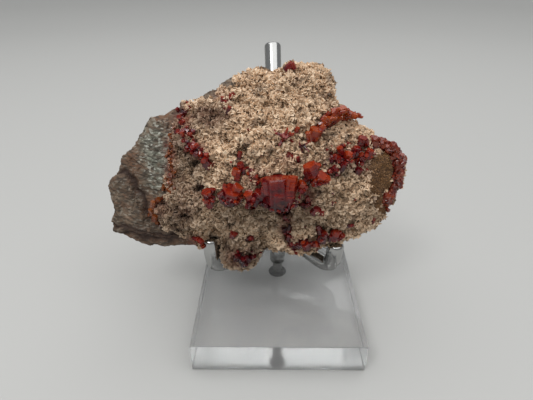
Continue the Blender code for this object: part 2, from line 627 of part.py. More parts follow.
def settle(rock):
    """Applies the cuts and drops the loose chips that they leave."""
    graph = bpy.context.evaluated_depsgraph_get()
    shape = bmesh.new()
    shape.from_mesh(rock.evaluated_get(graph).data)
    left = set(shape.faces)
    islands = []
    while left:
        islands.append(island(next(iter(left))))
        left -= islands[-1]
    islands.sort(key=len)
    for chip in islands[:-1]:
        bmesh.ops.delete(shape, geom=list(chip), context="FACES")
    rock.modifiers.clear()
    shape.to_mesh(rock.data)
    shape.free()


def make_specimen():
    rng = random.Random(SEED)
    rock = make_rock_body()
    tree = surface_tree(rock)
    thin = rock.modifiers.new("thin", "DECIMATE")
    thin.ratio = ROCK_KEEP
    small = bmesh.new()
    add_blades(small, tree, rng)
    for rows in FUSED.values():
        fused_shapes(small, cluster_crystals(tree, rows, rng, rooted=False))
    for line, radius, spacing in VEINS.values():
        fused_shapes(small, vein_crystals(tree, line, radius, spacing, rng))
    boolean(rock, cutter("small_crystals", small), "UNION", crossing=True)
    under_and_back_cuts(rock)
    surface = material("vanadinite")
    for name, rows in CLUSTERS.items():
        boolean(rock, crystal_shapes(name, cluster_crystals(tree, rows, rng), surface), "DIFFERENCE")
    rim = crystal_shapes("rim_crust", vein_crystals(tree, *RIM_CRUST, rng, rooted=True), surface)
    boolean(rock, rim, "DIFFERENCE")
    for name, route in (("post", POST_ROUTE), ("left_prong", LEFT_ROUTE), ("right_prong", RIGHT_ROUTE)):
        boolean(rock, rod(name + "_seat", route, None, grow=GAP), "DIFFERENCE")
    settle(rock)


clear_scene()
OUTLINE_ANGLES = [math.atan2(w - ROCK_CENTRE[1], u - ROCK_CENTRE[0]) for u, w in OUTLINE]
OUTLINE_RADII = [math.hypot(w - ROCK_CENTRE[1], u - ROCK_CENTRE[0]) for u, w in OUTLINE]
PARTS = new_collection("vanadinite_on_matrix", False)
CUTTERS = new_collection("cutters", True)
make_stand()
make_specimen()
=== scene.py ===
"""Vanadinite crystals on a druse-covered matrix, held on a prong stand with a clear acrylic block.

The finishes and fine shapes: broken host rock, a crust of small blades, red crystals, the stand.
"""

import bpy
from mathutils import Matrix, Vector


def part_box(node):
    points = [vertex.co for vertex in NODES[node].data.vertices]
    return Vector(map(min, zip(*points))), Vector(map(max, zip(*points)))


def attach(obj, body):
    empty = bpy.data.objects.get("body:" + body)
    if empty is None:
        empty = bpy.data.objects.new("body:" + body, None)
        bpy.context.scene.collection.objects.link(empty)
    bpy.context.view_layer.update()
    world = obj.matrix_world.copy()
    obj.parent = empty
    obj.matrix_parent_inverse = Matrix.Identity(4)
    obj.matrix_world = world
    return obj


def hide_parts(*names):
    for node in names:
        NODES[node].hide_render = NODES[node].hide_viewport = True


bl_info = {
    "name": "Vanadinite on Matrix",
    "version": (1, 0, 0),
    "blender": (4, 5, 0),
    "location": "3D View > Sidebar > Specimen",
    "description": "Fine rock, druse crust, crystals and prong stand of a display specimen",
    "category": "Add Mesh",
}

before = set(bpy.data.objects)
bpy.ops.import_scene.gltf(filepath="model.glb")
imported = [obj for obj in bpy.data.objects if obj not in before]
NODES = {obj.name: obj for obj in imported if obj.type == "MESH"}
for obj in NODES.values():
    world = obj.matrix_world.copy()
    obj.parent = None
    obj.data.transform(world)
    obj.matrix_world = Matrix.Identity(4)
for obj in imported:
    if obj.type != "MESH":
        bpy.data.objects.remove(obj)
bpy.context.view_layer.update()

import math
import random

import bmesh
import bpy
import numpy as np
from bpy.props import FloatProperty, FloatVectorProperty, IntProperty, PointerProperty
from bpy.types import Operator, Panel, PropertyGroup
from mathutils import Matrix, Vector, noise
from mathutils.bvhtree import BVHTree

MM = 0.001
ROD_NODES = ("post", "left_prong", "right_prong")
# Radius and height, in millimetres, of each corner of the two turned profiles: the screw fills its hole
SCREW_PROFILE = ((0, 0.05), (2.52, 0.05), (1.32, 2), (1.32, 8.2), (1, 10.8), (0, 11.1))
FLOOR_PROFILE = ((0, -0.05), (550, -0.05), (750, 12), (950, 50), (1100, 140), (1160, 320))

# Display frame: places on the specimen's face are millimetres right (u) and up (w) of the line of
# sight from EYE, on a plane DISTANCE away.
EYE = Vector((-3.2, -79.0, 81.9)) * MM
VIEWPOINT = Vector((-2.6, -79.0, 81.9)) * MM
PITCH = math.radians(31.2)
DISTANCE = 97.0
RIGHT = Vector((1.0, 0.0, 0.0))
FORWARD = Vector((0.0, math.cos(PITCH), -math.sin(PITCH)))
UP = RIGHT.cross(FORWARD)

# Left edge of the druse crust: its u at each w, from the top down
CRUST_EDGE_W = (22.3, 19.4, 17.0, 12.1, 4.9, 0.9, -0.3, -1.5, -4.4, -6.8, -8.7, -10.4)
CRUST_EDGE_U = (-20.0, -21.7, -22.9, -23.6, -24.4, -23.4, -26.3, -27.5, -27.3, -24.9, -19.8, -16.9)

# Patches of the rock's surface: (u, w, radius u, radius w, strength)
VELVET_PATCH = (
    (29, 8.6, 3.6, 4, 1), (28.6, 4, 3.8, 4.6, 1), (28.8, -0.4, 3, 3.4, 1),
)
HOST_WINDOWS = (
    (-13.8, 25.8, 2.6, 1.1, 1), (-9.2, 28.8, 2.4, 1.4, 1), (-21.9, 22, 2, 1.2, 1),
)
RED_STAIN = (
    (-20.2, 18.6, 2.2, 3.6, 0.8), (-16.8, 12, 2.6, 2.2, 0.7), (-23.2, 9.4, 1.4, 6, 0.8),
    (-2.8, 5.6, 3.2, 2.4, 0.6), (4.8, -5.4, 1.6, 3.8, 0.7), (10.2, 0.4, 1.6, 2.4, 0.7),
    (6, 9.4, 3.4, 1.4, 0.35), (19.6, 10.4, 5, 2.6, 0.6), (-25.6, -2, 1.8, 2.2, 0.5), (-11, 25, 1.6, 2, 0.5),
    (8, -10.4, 3, 1.6, 0.4), (-6, -14.2, 3, 1.8, 0.6), (-16.6, -10.2, 2, 1.2, 0.6),
    (24.2, 9.6, 2.4, 3, 0.5), (-13.4, 20.6, 4, 3, 0.3), (-18.6, 0.6, 3.4, 5, 0.2),
)
RUST_PATCH = (
    (-25, 19.8, 2.6, 1.8, 1), (-32, 8, 2, 4.8, 0.8), (-28.8, -1.4, 1.6, 4.2, 0.7), (-28, -9.4, 8, 1.3, 0.8),
    (-34.5, 7.4, 1.2, 2, 0.5), (-19, -10, 5, 1.2, 0.8),
)
PALE_PATCH = (
    (-27, 12, 4, 6, 1), (-26.4, 5.2, 2.8, 3, 0.9), (-29.4, 16, 2, 2, 0.6),
)
# Pits and hollows of the crust, as deep as their strength. Their floors and the blades in them get painted
# shade.
PITS = (
    (-14.6, 20.4, 2.8, 1.7, 0.62), (-12.7, -10.9, 1.6, 2.8, 1), (-19.2, 11.4, 0.8, 1.2, 0.9),
    (-17.3, 9, 1.2, 0.9, 0.9), (-17.9, 6.7, 0.8, 1.1, 0.8), (-16.1, 3.2, 1, 1.4, 1),
    (-18.4, 4.1, 0.7, 0.8, 0.75), (-24.6, -1, 1.7, 0.8, 1), (-22.2, -2.9, 0.8, 0.8, 0.9),
    (-20, -4.6, 1.3, 0.7, 0.8), (-16.4, -2.6, 1.2, 0.8, 0.7), (10.1, 2.2, 1.3, 1.8, 0.9),
    (9.3, -0.7, 0.9, 1.5, 0.95), (4.5, -2.9, 2.2, 0.8, 1), (2.5, -6.1, 0.7, 1.9, 0.75),
    (16.6, 15.8, 0.8, 0.6, 0.7), (-6.4, 10.2, 0.5, 0.9, 0.9), (-1.2, 27, 0.8, 0.8, 0.7),
    (-0.6, 19, 0.7, 0.7, 0.7), (15.4, 29.4, 0.7, 0.7, 0.6), (5.6, -8.8, 0.9, 1.2, 0.8),
    (-1.9, 8.4, 0.7, 0.9, 0.7), (13.2, 1.6, 0.9, 0.9, 0.8), (-8.6, -6.6, 1.4, 0.6, 0.75),
    (-3.4, -9.4, 1.5, 0.6, 0.8), (19.6, 6.2, 1.2, 0.7, 0.8), (22.2, 7.2, 1.2, 0.8, 0.85),
    (-9.8, 14.4, 0.9, 0.5, 0.6), (-5.2, 13.2, 0.7, 0.5, 0.6), (1.2, 12.4, 0.8, 0.5, 0.6),
    (8.6, 22, 0.7, 0.5, 0.6),
)
# Where the blades are painted darker: partly a brown of their own, partly painted shade in hollows, under the
# crystal row and low on the face
BROWN_AND_SHADE_PATCH = (
    (-21, 8, 4.4, 13, 0.7), (-22, -4, 7, 5, 0.7), (-14, 20, 4.5, 3.5, 0.62), (0, -4.6, 15, 3.6, 0.6),
    (4.8, -5.4, 1.8, 4, 0.95), (10.2, 0.4, 1.8, 2.6, 0.9), (-6, -13, 7, 5, 0.75), (14, -4, 8, 5, 0.4),
    (-19.4, 10.4, 4, 4, 0.7), (-17.6, 4, 3, 8, 0.6), (22, 8, 5, 2.6, 0.5), (26, -4, 4, 5, 0.3),
)
# The dark crease across the host rock, and the ledge lines under it, sunk and painted dark as shade
CREASES = (
    ((-36, 7.3), (-33.1, 6.1), (-30.7, 2.4), (-28.3, -3.6), (-25.8, -6.1)),
    ((-37.2, -6.2), (-32.3, -7.4), (-27, -8.6), (-20, -8.6)), ((-34, -8.2), (-28, -9.8), (-22, -9.6)),
)

# Crystals, each (u, w, axis right, axis up, axis out, radius, length, spin in degrees, tone, form).
# Tone runs from 0, deep purple red, to 1, orange. The form is given where it isn't blunt.
CRYSTALS = {
    "row_left_crystal": (
        (-13.8, 1, -0.3, 0.8, 0.7, 1.25, 2.8, 12, 0.3), (-12.9, 2, 0.4, 0.8, 0.6, 0.7, 1.6, 0, 0.15),
        (-13.2, -0.8, 0.4, 0.9, 0.4, 0.9, 2, 30, 0.3, "capped"),
        (-14.5, -0.3, -0.4, 0.8, 0.6, 0.55, 1.2, 20, 0.8),
    ),
    "row_second_crystal": (
        (-8.3, 1.1, 0.3, 0.75, 0.65, 2.3, 3.4, 10, 0.18), (-7.1, 2.3, 0.55, 0.7, 0.5, 1.2, 2.6, 24, 0.5),
        (-9.7, 2.9, -0.3, 0.9, 0.5, 0.9, 1.7, 20, 0.1, "tapered"),
        (-10.4, 0.6, -0.4, 0.9, 0.4, 0.9, 2.2, 10, 0.12),
        (-8.6, -0.2, -0.1, 0.8, 0.8, 1.1, 1.6, 15, 0.12, "capped"),
        (-6.5, 0.2, 0.5, 0.8, 0.5, 0.9, 1.8, 0, 0.35),
    ),
    "row_main_crystals": (
        (2.7, 2.3, -0.05, 1, 0.32, 3, 5.7, 2, 0.22), (5.6, 2.5, 0.1, 1, 0.3, 1.8, 5.4, 14, 0.42),
        (3.1, -0.2, 0.05, 1, 0.36, 2, 3.6, 20, 0.02), (6.7, 4.7, 0.12, 1, 0.3, 1, 2.1, 6, 0.8),
        (0.8, 3.1, -0.1, 1, 0.35, 1.2, 3, 16, 0.28), (5.8, -0.1, 0.2, 1, 0.4, 1, 1.9, 0, 0.2),
        (-1.5, 0.9, 0.35, 0.8, 0.6, 1.4, 2.6, 24, 0.12), (-3.8, 0.8, -0.3, 0.8, 0.75, 1.15, 2.2, 0, 0.4),
        (-2.8, -0.3, 0.2, 0.7, 0.8, 0.8, 1.6, 30, 0.3, "capped"),
        (-0.4, 2.2, -0.2, 0.9, 0.5, 0.7, 1.8, 10, 0.3, "tapered"),
        (8.5, 3.4, 0.5, 0.8, 0.5, 1.05, 2.2, 20, 0.5),
        (9.5, 2.5, 0.3, 0.9, 0.6, 0.7, 1.6, 0, 0.2, "capped"),
    ),
    "pair_crystals": (
        (11.2, 7.3, -0.45, 0.8, 0.5, 1.55, 2.9, 14, 0.36), (13.1, 5.4, 0.5, 0.5, 0.8, 1.35, 2.4, 18, 0.6),
        (14.4, 5, 0.8, 0.4, 0.6, 0.8, 2, 0, 0.85), (12.2, 4.4, 0.3, 0.7, 0.7, 0.8, 1.7, 40, 0.5, "capped"),
        (10.2, 6.2, -0.4, 0.8, 0.5, 0.8, 1.8, 20, 0.2), (12.4, 8, 0.4, 0.8, 0.5, 0.8, 1.7, 10, 0.45),
    ),
    "wing_crystals": (
        (14.1, 18.6, 0.7, 0.8, 0.3, 1, 3.4, 12, 0.5, "tapered"),
        (16, 20.1, 0.75, 0.7, 0.2, 1.5, 4, 4, 0.6, "tapered"),
        (17.9, 21.5, 0.95, 0.35, 0.2, 1.5, 3.4, 20, 0.7, "tapered"),
        (18.7, 20.2, 0.95, 0.1, 0.35, 1.45, 4, 40, 0.55, "tapered"),
        (20.2, 20.9, 1, -0.35, 0.15, 1.3, 4, 10, 0.65, "tapered"),
        (22.1, 20.5, 1, -0.3, 0.1, 0.65, 2.8, 0, 0.5, "tapered"),
        (17, 19.4, 0.85, 0.4, 0.3, 0.95, 3.4, 16, 0.45, "tapered"),
        (11.9, 16, 0.3, 0.8, 0.6, 1.45, 2.6, 6, 0.35),
        (10.6, 15.4, -0.2, 0.9, 0.5, 0.8, 1.8, 30, 0.5, "capped"),
    ),
    "right_upper_crystals": (
        (16.9, 9.6, 0.3, 0.8, 0.7, 1.2, 2.4, 0, 0.25), (18.2, 12, -0.4, 0.9, 0.6, 0.8, 1.8, 20, 0.4),
        (19.8, 10.5, 0.4, 0.7, 0.7, 1.1, 2.2, 10, 0.46), (21.9, 12, 0.2, 0.9, 0.6, 0.9, 2, 40, 0.15),
        (23.2, 10.4, -0.4, 0.7, 0.7, 0.9, 2, 0, 0.3, "capped"),
        (24.9, 11.3, 0.4, 0.8, 0.6, 0.95, 2.2, 20, 0.3), (21.4, 9.4, 0.2, 0.7, 0.8, 0.8, 1.8, 12, 0.12),
    ),
    "over_row_crystals": (
        (-7.3, 6.8, 0.3, 0.9, 0.6, 0.75, 1.6, 0, 1.1), (-5.9, 8.1, -0.3, 0.9, 0.5, 0.85, 1.7, 20, 0.25),
        (-6.7, 5.9, 0.2, 1, 0.3, 0.7, 2, 10, 0.4, "capped"), (-5.2, 7, 0.2, 0.9, 0.5, 0.5, 1.4, 10, 0.2),
    ),
    "left_pocket": (
        (-26.3, -0.3, 0.7, 0.4, 0.7, 0.7, 1.8, 0, 0.35),
        (-27.3, -1.2, 0.3, 0.9, 0.6, 0.65, 1.6, 30, 0.6, "capped"),
        (-27.5, -3, -0.3, 0.9, 0.6, 0.7, 1.8, 30, 0.75), (-26.9, -4.6, 0.3, 0.9, 0.5, 0.7, 1.6, 10, 0.55),
        (-25.6, -5.8, 0.5, 0.9, 0.5, 0.6, 1.5, 10, 0.65, "capped"),
        (-24.9, 0.3, 0.7, 0.5, 0.5, 0.6, 1.6, 0, 0.3),
    ),
    "lower_mid_crystals": (
        (8.4, -10.6, 0.5, 0.6, 0.8, 1.2, 2.2, 0, 0), (9.8, -11.2, -0.3, 0.8, 0.7, 1, 2, 20, 0.22),
        (7.4, -11.4, 0.3, 0.8, 0.7, 0.7, 1.6, 20, 0), (11.9, -10.7, 0.9, 0.2, 0.6, 0.9, 2.4, 10, 0.52),
        (13.9, -9, 0.1, 1, 0.4, 1.05, 3, 40, 0.16), (13, -7.2, -0.2, 1, 0.5, 0.7, 1.8, 0, 0.02, "capped"),
    ),
    "prong_side_crystals": (
        (16.9, -8.4, 0.3, 0.9, 0.5, 1.25, 2.8, 0, 0.37),
        (18.2, -8.9, 0.6, 0.6, 0.6, 0.8, 1.8, 20, 0.27, "capped"),
        (15.7, -9.2, 0.2, 0.9, 0.5, 0.6, 1.6, 0, 0.12),
    ),
    "lobe_crystals": (
        (-6.8, -14, 0.4, 0.8, 0.7, 0.85, 1.6, 0, -0.24), (-5.6, -14.7, 0.1, 0.8, 0.8, 0.8, 1.6, 20, -0.16),
        (-4.4, -14.4, -0.5, 0.6, 0.8, 0.8, 1.6, 20, -0.22, "capped"),
        (-3.2, -13.9, 0.8, 0.5, 0.5, 0.7, 1.6, 10, -0.14), (-5, -15.7, 0.7, 0.3, 0.7, 0.7, 1.5, 40, -0.2),
        (-2.3, -13.2, 0.5, 0.8, 0.5, 0.5, 1.3, 0, -0.25), (-6.2, -13, 0.2, 0.9, 0.5, 0.5, 1.2, 0, -0.3),
    ),
}
# Crystals grown on the matrix itself, written the same way
MATRIX_CRYSTALS = {
    "face_crystals": (
        (5.5, 15.5, 1, 0.35, 0.4, 0.52, 2.8, 0, 0.4, "tapered"),
        (3.7, 15.8, -1, 0.3, 0.4, 0.52, 2.6, 20, 0.35, "tapered"),
        (5, 16.2, 0.3, 1, 0.4, 0.46, 2.2, 20, 0.45, "tapered"),
        (4, 14.4, -0.5, -0.9, 0.4, 0.52, 2.6, 0, 0.25, "tapered"),
        (5.8, 14.7, 0.8, -0.5, 0.4, 0.46, 2.2, 0, 0.35, "tapered"),
        (4.7, 15.3, 0.1, 0.3, 1, 0.8, 1.6, 0, 0.2), (9.3, 13.4, 1, 0.5, 0.3, 0.28, 2.4, 0, 0.1, "tapered"),
        (8.6, 12.8, -0.4, 1, 0.3, 0.28, 2.4, 0, 0.1, "tapered"),
        (9.8, 12.6, 0.7, -0.8, 0.3, 0.28, 2, 0, 0.2, "tapered"),
        (5.6, 32.2, 0.8, 0.6, 0.4, 0.9, 2.4, 10, 0.3), (6.6, 32.5, -0.5, 0.9, 0.4, 0.6, 1.6, 0, 0.5),
        (23.3, 14.5, 0.3, 0.8, 0.7, 1.1, 2, 0, 0.25),
        (24.4, 14, -0.4, 0.9, 0.6, 0.6, 1.4, 30, 0.3, "capped"),
        (16.3, 7.2, 0.8, 0.5, 0.6, 0.9, 2.2, 0, 0.05), (18.6, 8.2, 0.3, 0.8, 0.6, 0.95, 2, 20, 0),
        (12.2, -2.6, 0.6, 0.6, 0.7, 1, 2, 10, 0.12), (13.3, -3.1, 0.9, -0.1, 0.5, 0.6, 2, 0, 0.2),
        (5.9, 10.2, 0.5, 0.8, 0.6, 1.1, 2, 0, 0), (8, 9.9, -0.3, 0.8, 0.6, 0.5, 1.2, 0, 0.2),
        (7.6, 17, 0.4, 0.8, 0.6, 0.5, 1.2, 0, 0.5), (-13.8, 9, 0.5, 0.7, 0.7, 1.3, 2, 0, 0.2, "hollow"),
        (-6.3, 10.7, 0.2, 0.9, 0.4, 0.5, 1.8, 0, 0.3), (-7.7, -8.4, 0.3, 0.6, 0.8, 1, 1.8, 0, 0.1),
        (-4, -9.5, 0.8, 0.3, 0.6, 0.6, 2.4, 0, 0.05), (22.4, 7, 0.4, 0.8, 0.7, 0.9, 1.8, 0, 0.02),
        (20.6, 8.2, -0.4, 0.8, 0.7, 0.6, 1.4, 30, 0.1), (16.2, -0.9, 0, 1, 0.4, 0.3, 1.4, 0, 0.15),
        (20.2, -6.2, 1, 0.2, 0.4, 0.4, 2.4, 0, 0.1), (26.2, -4.8, 0.2, 0.9, 0.5, 0.4, 1.6, 0, 0.25),
        (5.6, -9, 0.2, 0.9, 0.5, 0.7, 1.8, 0, 0),
    ),
    "edge_crystals": (
        (-15.9, -9.9, 0.7, -0.5, 0.5, 0.7, 2.2, 0, 0.35), (-15.4, -11, 0.6, -0.6, 0.5, 0.6, 1.6, 20, 0.7),
        (-17.2, -9.5, 1, -0.1, 0.5, 0.6, 1.8, 0, 0.2, "capped"),
        (-8.9, 24.6, 0.6, 0.8, 0.5, 0.6, 2, 0, 0.35), (-9.7, 23.2, 0.1, 1, 0.4, 0.6, 2, 30, 0.3),
        (-9, 21.8, 0.4, 0.8, 0.5, 0.55, 1.8, 0, 0.2, "capped"),
        (-8.2, 25.4, 0.9, 0.5, 0.4, 0.5, 1.6, 10, 0.45), (-10.6, 24.4, 0.2, 0.9, 0.5, 0.4, 1.2, 0, 0.3),
    ),
}
# Ragged masses of small crystals: points (u, w), width, count, size, tone, lean along the line
MASSES = {
    "wing_crystals": (((13.6, 18.2), (15.8, 19.8), (18.4, 20.8), (20.8, 20.6)), 1.1, 28, 0.7, 0.6, 0.8),
    "wing_tip": (((20.4, 20.9), (21.6, 20.8), (23, 20.3)), 0.4, 10, 0.5, 0.5, 1.2),
    "row_left_crystal": (((-14.6, 1.6), (-13.2, -0.8), (-11.6, 0.2)), 0.6, 5, 0.42, 0.1, 0),
    "row_second_crystal": (((-10.8, 1.6), (-9.8, -0.9), (-6.4, -0.7), (-5.4, 0.6)), 0.5, 9, 0.45, 0.1, 0),
    "row_main_crystals": (
        ((-4.6, -0.9), (-0.6, -0.8), (0.6, -2), (4.4, -2.9), (7.2, -0.9), (8.6, 1.4), (9.4, 3.4)), 0.5, 26,
        0.55, 0.14, 0,
    ),
    "pair_crystals": (((9.4, 5.2), (11.2, 4.4), (13.4, 3.8), (15.4, 4.6)), 0.5, 16, 0.42, 0.25, 0),
    "right_upper_crystals": (((16, 10.6), (19, 9), (22.2, 10.4), (25.6, 10.6)), 1, 26, 0.5, 0.25, 0),
    "lower_mid_crystals": (((6.6, -10.8), (9.8, -10.4), (13, -10.4), (14.6, -8)), 0.8, 22, 0.5, 0.1, 0),
}
# Veins of small crystals: points (u, w), width, count, size, tone, and the finish where it isn't red
VEINS = (
    (((-19.4, 22.8), (-20.4, 20.2), (-20.8, 18.4), (-20.4, 16.6), (-19.4, 14.8)), 0.8, 30, 0.55, 0.2),
    (((-20.6, 16.6), (-19, 15.8), (-17.6, 14.4)), 1.3, 26, 0.6, 0.1),
    (((-19, 13.8), (-17.2, 12.2), (-15.8, 11), (-14.4, 9.8)), 0.8, 30, 0.6, 0.18),
    (((-22.4, 17.4), (-22.9, 13), (-23.2, 11)), 0.4, 18, 0.36, 0.6, "stained_crystal"),
    (
        ((-23.6, 10.6), (-23, 8.4), (-22.3, 6.4), (-23.2, 4.8), (-23.8, 3.4), (-22.9, 0.8)), 1, 48, 0.4,
        0.6, "stained_crystal",
    ),
    (((-4.6, 7), (-2.8, 5), (-1.6, 3.8)), 1.4, 26, 0.42, 0.3),
    (((2.2, 16), (5.2, 16.6), (8, 16.4)), 0.9, 8, 0.28, 0.4),
    (((15.4, 13), (18.6, 12.4), (21.4, 12.8), (24.2, 12.2), (26.2, 12.4)), 1.7, 34, 0.42, 0.35),
    (((15.6, 9), (18.4, 8.6), (21, 9.2), (24, 8)), 1.4, 24, 0.42, 0.08),
    (((-6, -0.9), (-2.4, -1.4), (0, -1.8), (3.4, -3), (8.6, -1)), 0.8, 24, 0.42, 0.1),
    (((3, -2.6), (4.6, -3.8), (5.2, -6.2), (6, -8.8), (7, -10.6)), 1.1, 34, 0.55, -0.05),
    (((8.8, 2.6), (10.4, 0.8), (10, -1.8)), 0.9, 20, 0.6, 0),
    (((14.8, 7.2), (16.4, 6.4), (18.6, 8.4)), 0.9, 18, 0.55, 0.05),
    (((6.2, -11), (9.8, -11.9), (12.4, -9.6), (15.2, -8)), 1.4, 22, 0.4, 0.2),
    (((-26.2, 0.2), (-27.6, -1.6), (-27.4, -4), (-25.4, -6.4)), 0.7, 26, 0.36, 0.5, "stained_crystal"),
    (((-8, -13.4), (-5.4, -14.8), (-3, -14), (-1.8, -12.8)), 1.4, 26, 0.36, -0.15),
    (((-12, 18), (-3, 14), (-12, 5), (-2, -6), (8, -5), (20, 0), (12, 12)), 6, 26, 0.24, 0.2),
    (
        ((25.8, 13.7), (29.2, 13), (31.3, 11.2), (32.2, 7.6), (31.9, 4.2), (30.9, 1.4), (29.4, -1.4)), 0.6,
        70, 0.5, 0.25, "rim_crystal",
    ),
)

# Middle of the joint of a prong and the post, on the right
JOINT_PLACE = (0.0021, 0.0110, 0.0164)
VEIN_PIECES = {
    "red_crystal": "vein_crystals",
    "stained_crystal": "stained_vein_crystals",
    "rim_crystal": "rim_inner_crystals",
}
CRYSTAL_NODES = tuple(CRYSTALS) + ("rim_crust",)
# Crystal finishes: deep, middle and bright colours
CRYSTAL_FINISHES = {
    "red_crystal": ((0.05, 0.002, 0.007), (0.26, 0.007, 0.011), (0.58, 0.06, 0.01)),
    "orange_crystal": ((0.11, 0.006, 0.003), (0.36, 0.022, 0.004), (0.58, 0.092, 0.006)),
    "stained_crystal": ((0.045, 0.014, 0.008), (0.16, 0.032, 0.014), (0.42, 0.12, 0.03)),
    "rim_crystal": ((0.12, 0.014, 0.009), (0.29, 0.03, 0.018), (0.46, 0.1, 0.045)),
}
# Clusters of another finish than red
PIECE_FINISHES = {
    "left_pocket": "stained_crystal", "wing_crystals": "orange_crystal", "wing_tip": "orange_crystal",
}
# How far a cluster stands proud of its CAD solid, in millimetres. The others are sunk into the crust.
PROUD = {"row_main_crystals": 0, "pair_crystals": 0, "wing_crystals": 0, "row_second_crystal": -0.1}
SUNK, MASS_PROUD, MATRIX_PROUD = -0.3, 0.2, 0.6
# Prisms by name: radius of the far end, bevel, and how far the middle of the end is raised
PRISM_ENDS = {
    "blunt": (1.0, 0.055, None), "tapered": (0.5, 0.06, None),
    "capped": (0.96, 0.0, 0.13), "hollow": (1.0, 0.0, -0.3),
}
PRISM_SIDE = 0.93  # middle radius of a six-sided prism over the radius of its corners
LARGE_CRYSTAL = 0.0012  # radius from which a crystal has smaller ones on it
CLEAN_CRYSTAL = 0.0025  # radius from which they keep to its front
CREASE_DEPTH = 0.0007
PIT_DEPTH = 0.0015
CREASE_WIDTH = 0.75  # in millimetres, as WARP_REACH is
# The borders of all patches are made ragged by noise of this scale and reach
WARP_SCALE = 450.0
WARP_REACH = 0.9
# Where blades grow: the crust above its level, and the patch and the pits below theirs
CRUST_LEVEL, PATCH_LEVEL, PIT_LEVEL = 0.45, 0.6, 0.72
GRAIN_LEVEL = 0.4  # of the patch, above which its grains grow
BLADE_FORMS = 6  # different blades to choose from
# Scattering: places tried, least spacing, and how near a crystal's axis blades may stand
DRUSE_TRIES = 60000
PATCH_TRIES, PATCH_SPACING = 14000, 0.0003
RIM_TRIES, RIM_SPACING = 9000, 0.00074
CLEAR_MARGIN = 0.65
# Faces that meet at more than these angles keep a crisp edge
ROD_EDGE = math.radians(48)
SCREW_EDGE = math.radians(30)
# Unevenness of the joint beads
BEAD_SCALE = 900.0
BEAD_LUMP = 0.00018
# Lamps: size, place and aim
LAMPS = {
    "overhead": (1.15, (0.02, 0.02, 0.70), (0.0, 0.01, 0.03)),
    "front": (0.12, (-0.17, -0.20, 0.40), (0.0, 0.0, 0.035)),
}
LENS = 27.02
CAMERA_YAW = math.radians(0.25)
CAMERA_ROLL = math.radians(0.14)
PLACE_SEED = 5
NOISE_SEED = 5
WELD = 0.000001


# ---------------------------------------------------------------- settings


class StageSettings(PropertyGroup):
    floor_colour: FloatVectorProperty(
        name="Floor colour", description="Colour of the floor and its raised back", subtype="COLOR",
        size=3, default=(0.50, 0.50, 0.485), min=0.0, max=1.0,
    )
    overhead_power: FloatProperty(
        name="Overhead power", description="Power of the large lamp over the specimen", unit="POWER",
        default=6.4, min=0.0,
    )
    front_power: FloatProperty(
        name="Front power", description="Power of the small lamp that gives the crystals their glints",
        unit="POWER", default=0.4, min=0.0,
    )
    room_light: FloatProperty(
        name="Room light", description="Strength of the even light from all round", default=0.32, min=0.0,
    )


class StandSettings(PropertyGroup):
    steel_colour: FloatVectorProperty(
        name="Steel colour", description="Colour of the rods and the screw", subtype="COLOR",
        size=3, default=(0.46, 0.46, 0.45), min=0.0, max=1.0,
    )
    steel_roughness: FloatProperty(
        name="Steel roughness", description="How dull the rods are", subtype="FACTOR",
        default=0.17, min=0.0, max=1.0,
    )
    bead_radius: FloatProperty(
        name="Joint bead radius", description="Radius of the solder beads where the prongs meet the post",
        unit="LENGTH", default=0.0016, min=0.0,
    )


class RockSettings(PropertyGroup):
    grid_size: FloatProperty(
        name="Surface grid", description="Size of the faces of the fine rock surface", unit="LENGTH",
        default=0.00036, min=0.0002, max=0.002,
    )
    crust_sink: FloatProperty(
        name="Crust sink", description="How far the rock lies under the tips of the blades", unit="LENGTH",
        default=0.00035, min=0.0,
    )
    host_colour: FloatVectorProperty(
        name="Host colour", description="Main colour of the bare host rock", subtype="COLOR",
        size=3, default=(0.215, 0.152, 0.104), min=0.0, max=1.0,
    )
    crust_colour: FloatVectorProperty(
        name="Crust colour", description="Colour of the crust between its blades", subtype="COLOR",
        size=3, default=(0.33, 0.22, 0.135), min=0.0, max=1.0,
    )


class DruseSettings(PropertyGroup):
    rosette_spacing: FloatProperty(
        name="Rosette spacing", description="Least distance between two rosettes of blades", unit="LENGTH",
        default=0.00062, min=0.0003,
    )
    blade_length: FloatProperty(
        name="Blade length", description="Usual length of a blade", unit="LENGTH",
        default=0.00106, min=0.0002,
    )
    blade_thickness: FloatProperty(
        name="Blade thickness", description="Usual thickness of a blade", unit="LENGTH",
        default=0.00017, min=0.00005,
    )
    # The blades run from the tan colour to the pale one by tone, partly random and partly painted light and
    # shade: paler on the crust's bulges, tanner in its hollows
    pale_colour: FloatVectorProperty(
        name="Pale colour", description="Colour of the cleanest blades", subtype="COLOR",
        size=3, default=(0.85, 0.655, 0.465), min=0.0, max=1.0,
    )
    tan_colour: FloatVectorProperty(
        name="Tan colour", description="Colour of the iron-stained blades", subtype="COLOR",
        size=3, default=(0.62, 0.43, 0.275), min=0.0, max=1.0,
    )


class CrystalSettings(PropertyGroup):
    red_roughness: FloatProperty(
        name="Crystal roughness", description="How dull the crystal faces are", subtype="FACTOR",
        default=0.13, min=0.0, max=1.0,
    )
    clear_share: FloatProperty(
        name="Crystal clearness", description="How much light passes through the crystals",
        subtype="FACTOR", default=0.5, min=0.0, max=1.0,
    )
    rim_sink: FloatProperty(
        name="Rim sink", description="How far the rim's base lies under its crystals' tips", unit="LENGTH",
        default=0.0001, min=0.0,
    )
    seed: IntProperty(
        name="Seed", description="Changes the scatter of the small crystals", default=PLACE_SEED, min=0,
    )


# ---------------------------------------------------------------- places on the display face


def display_places(points):
    """(u, w) of an array of points in metres."""
    from_eye = points - np.array(EYE)
    depth = from_eye @ np.array(FORWARD)
    across = np.stack([from_eye @ np.array(RIGHT), from_eye @ np.array(UP)], axis=1)
    return across / depth[:, None] * DISTANCE


def sight(u, w):
    return (FORWARD + RIGHT * (u / DISTANCE) + UP * (w / DISTANCE)).normalized()


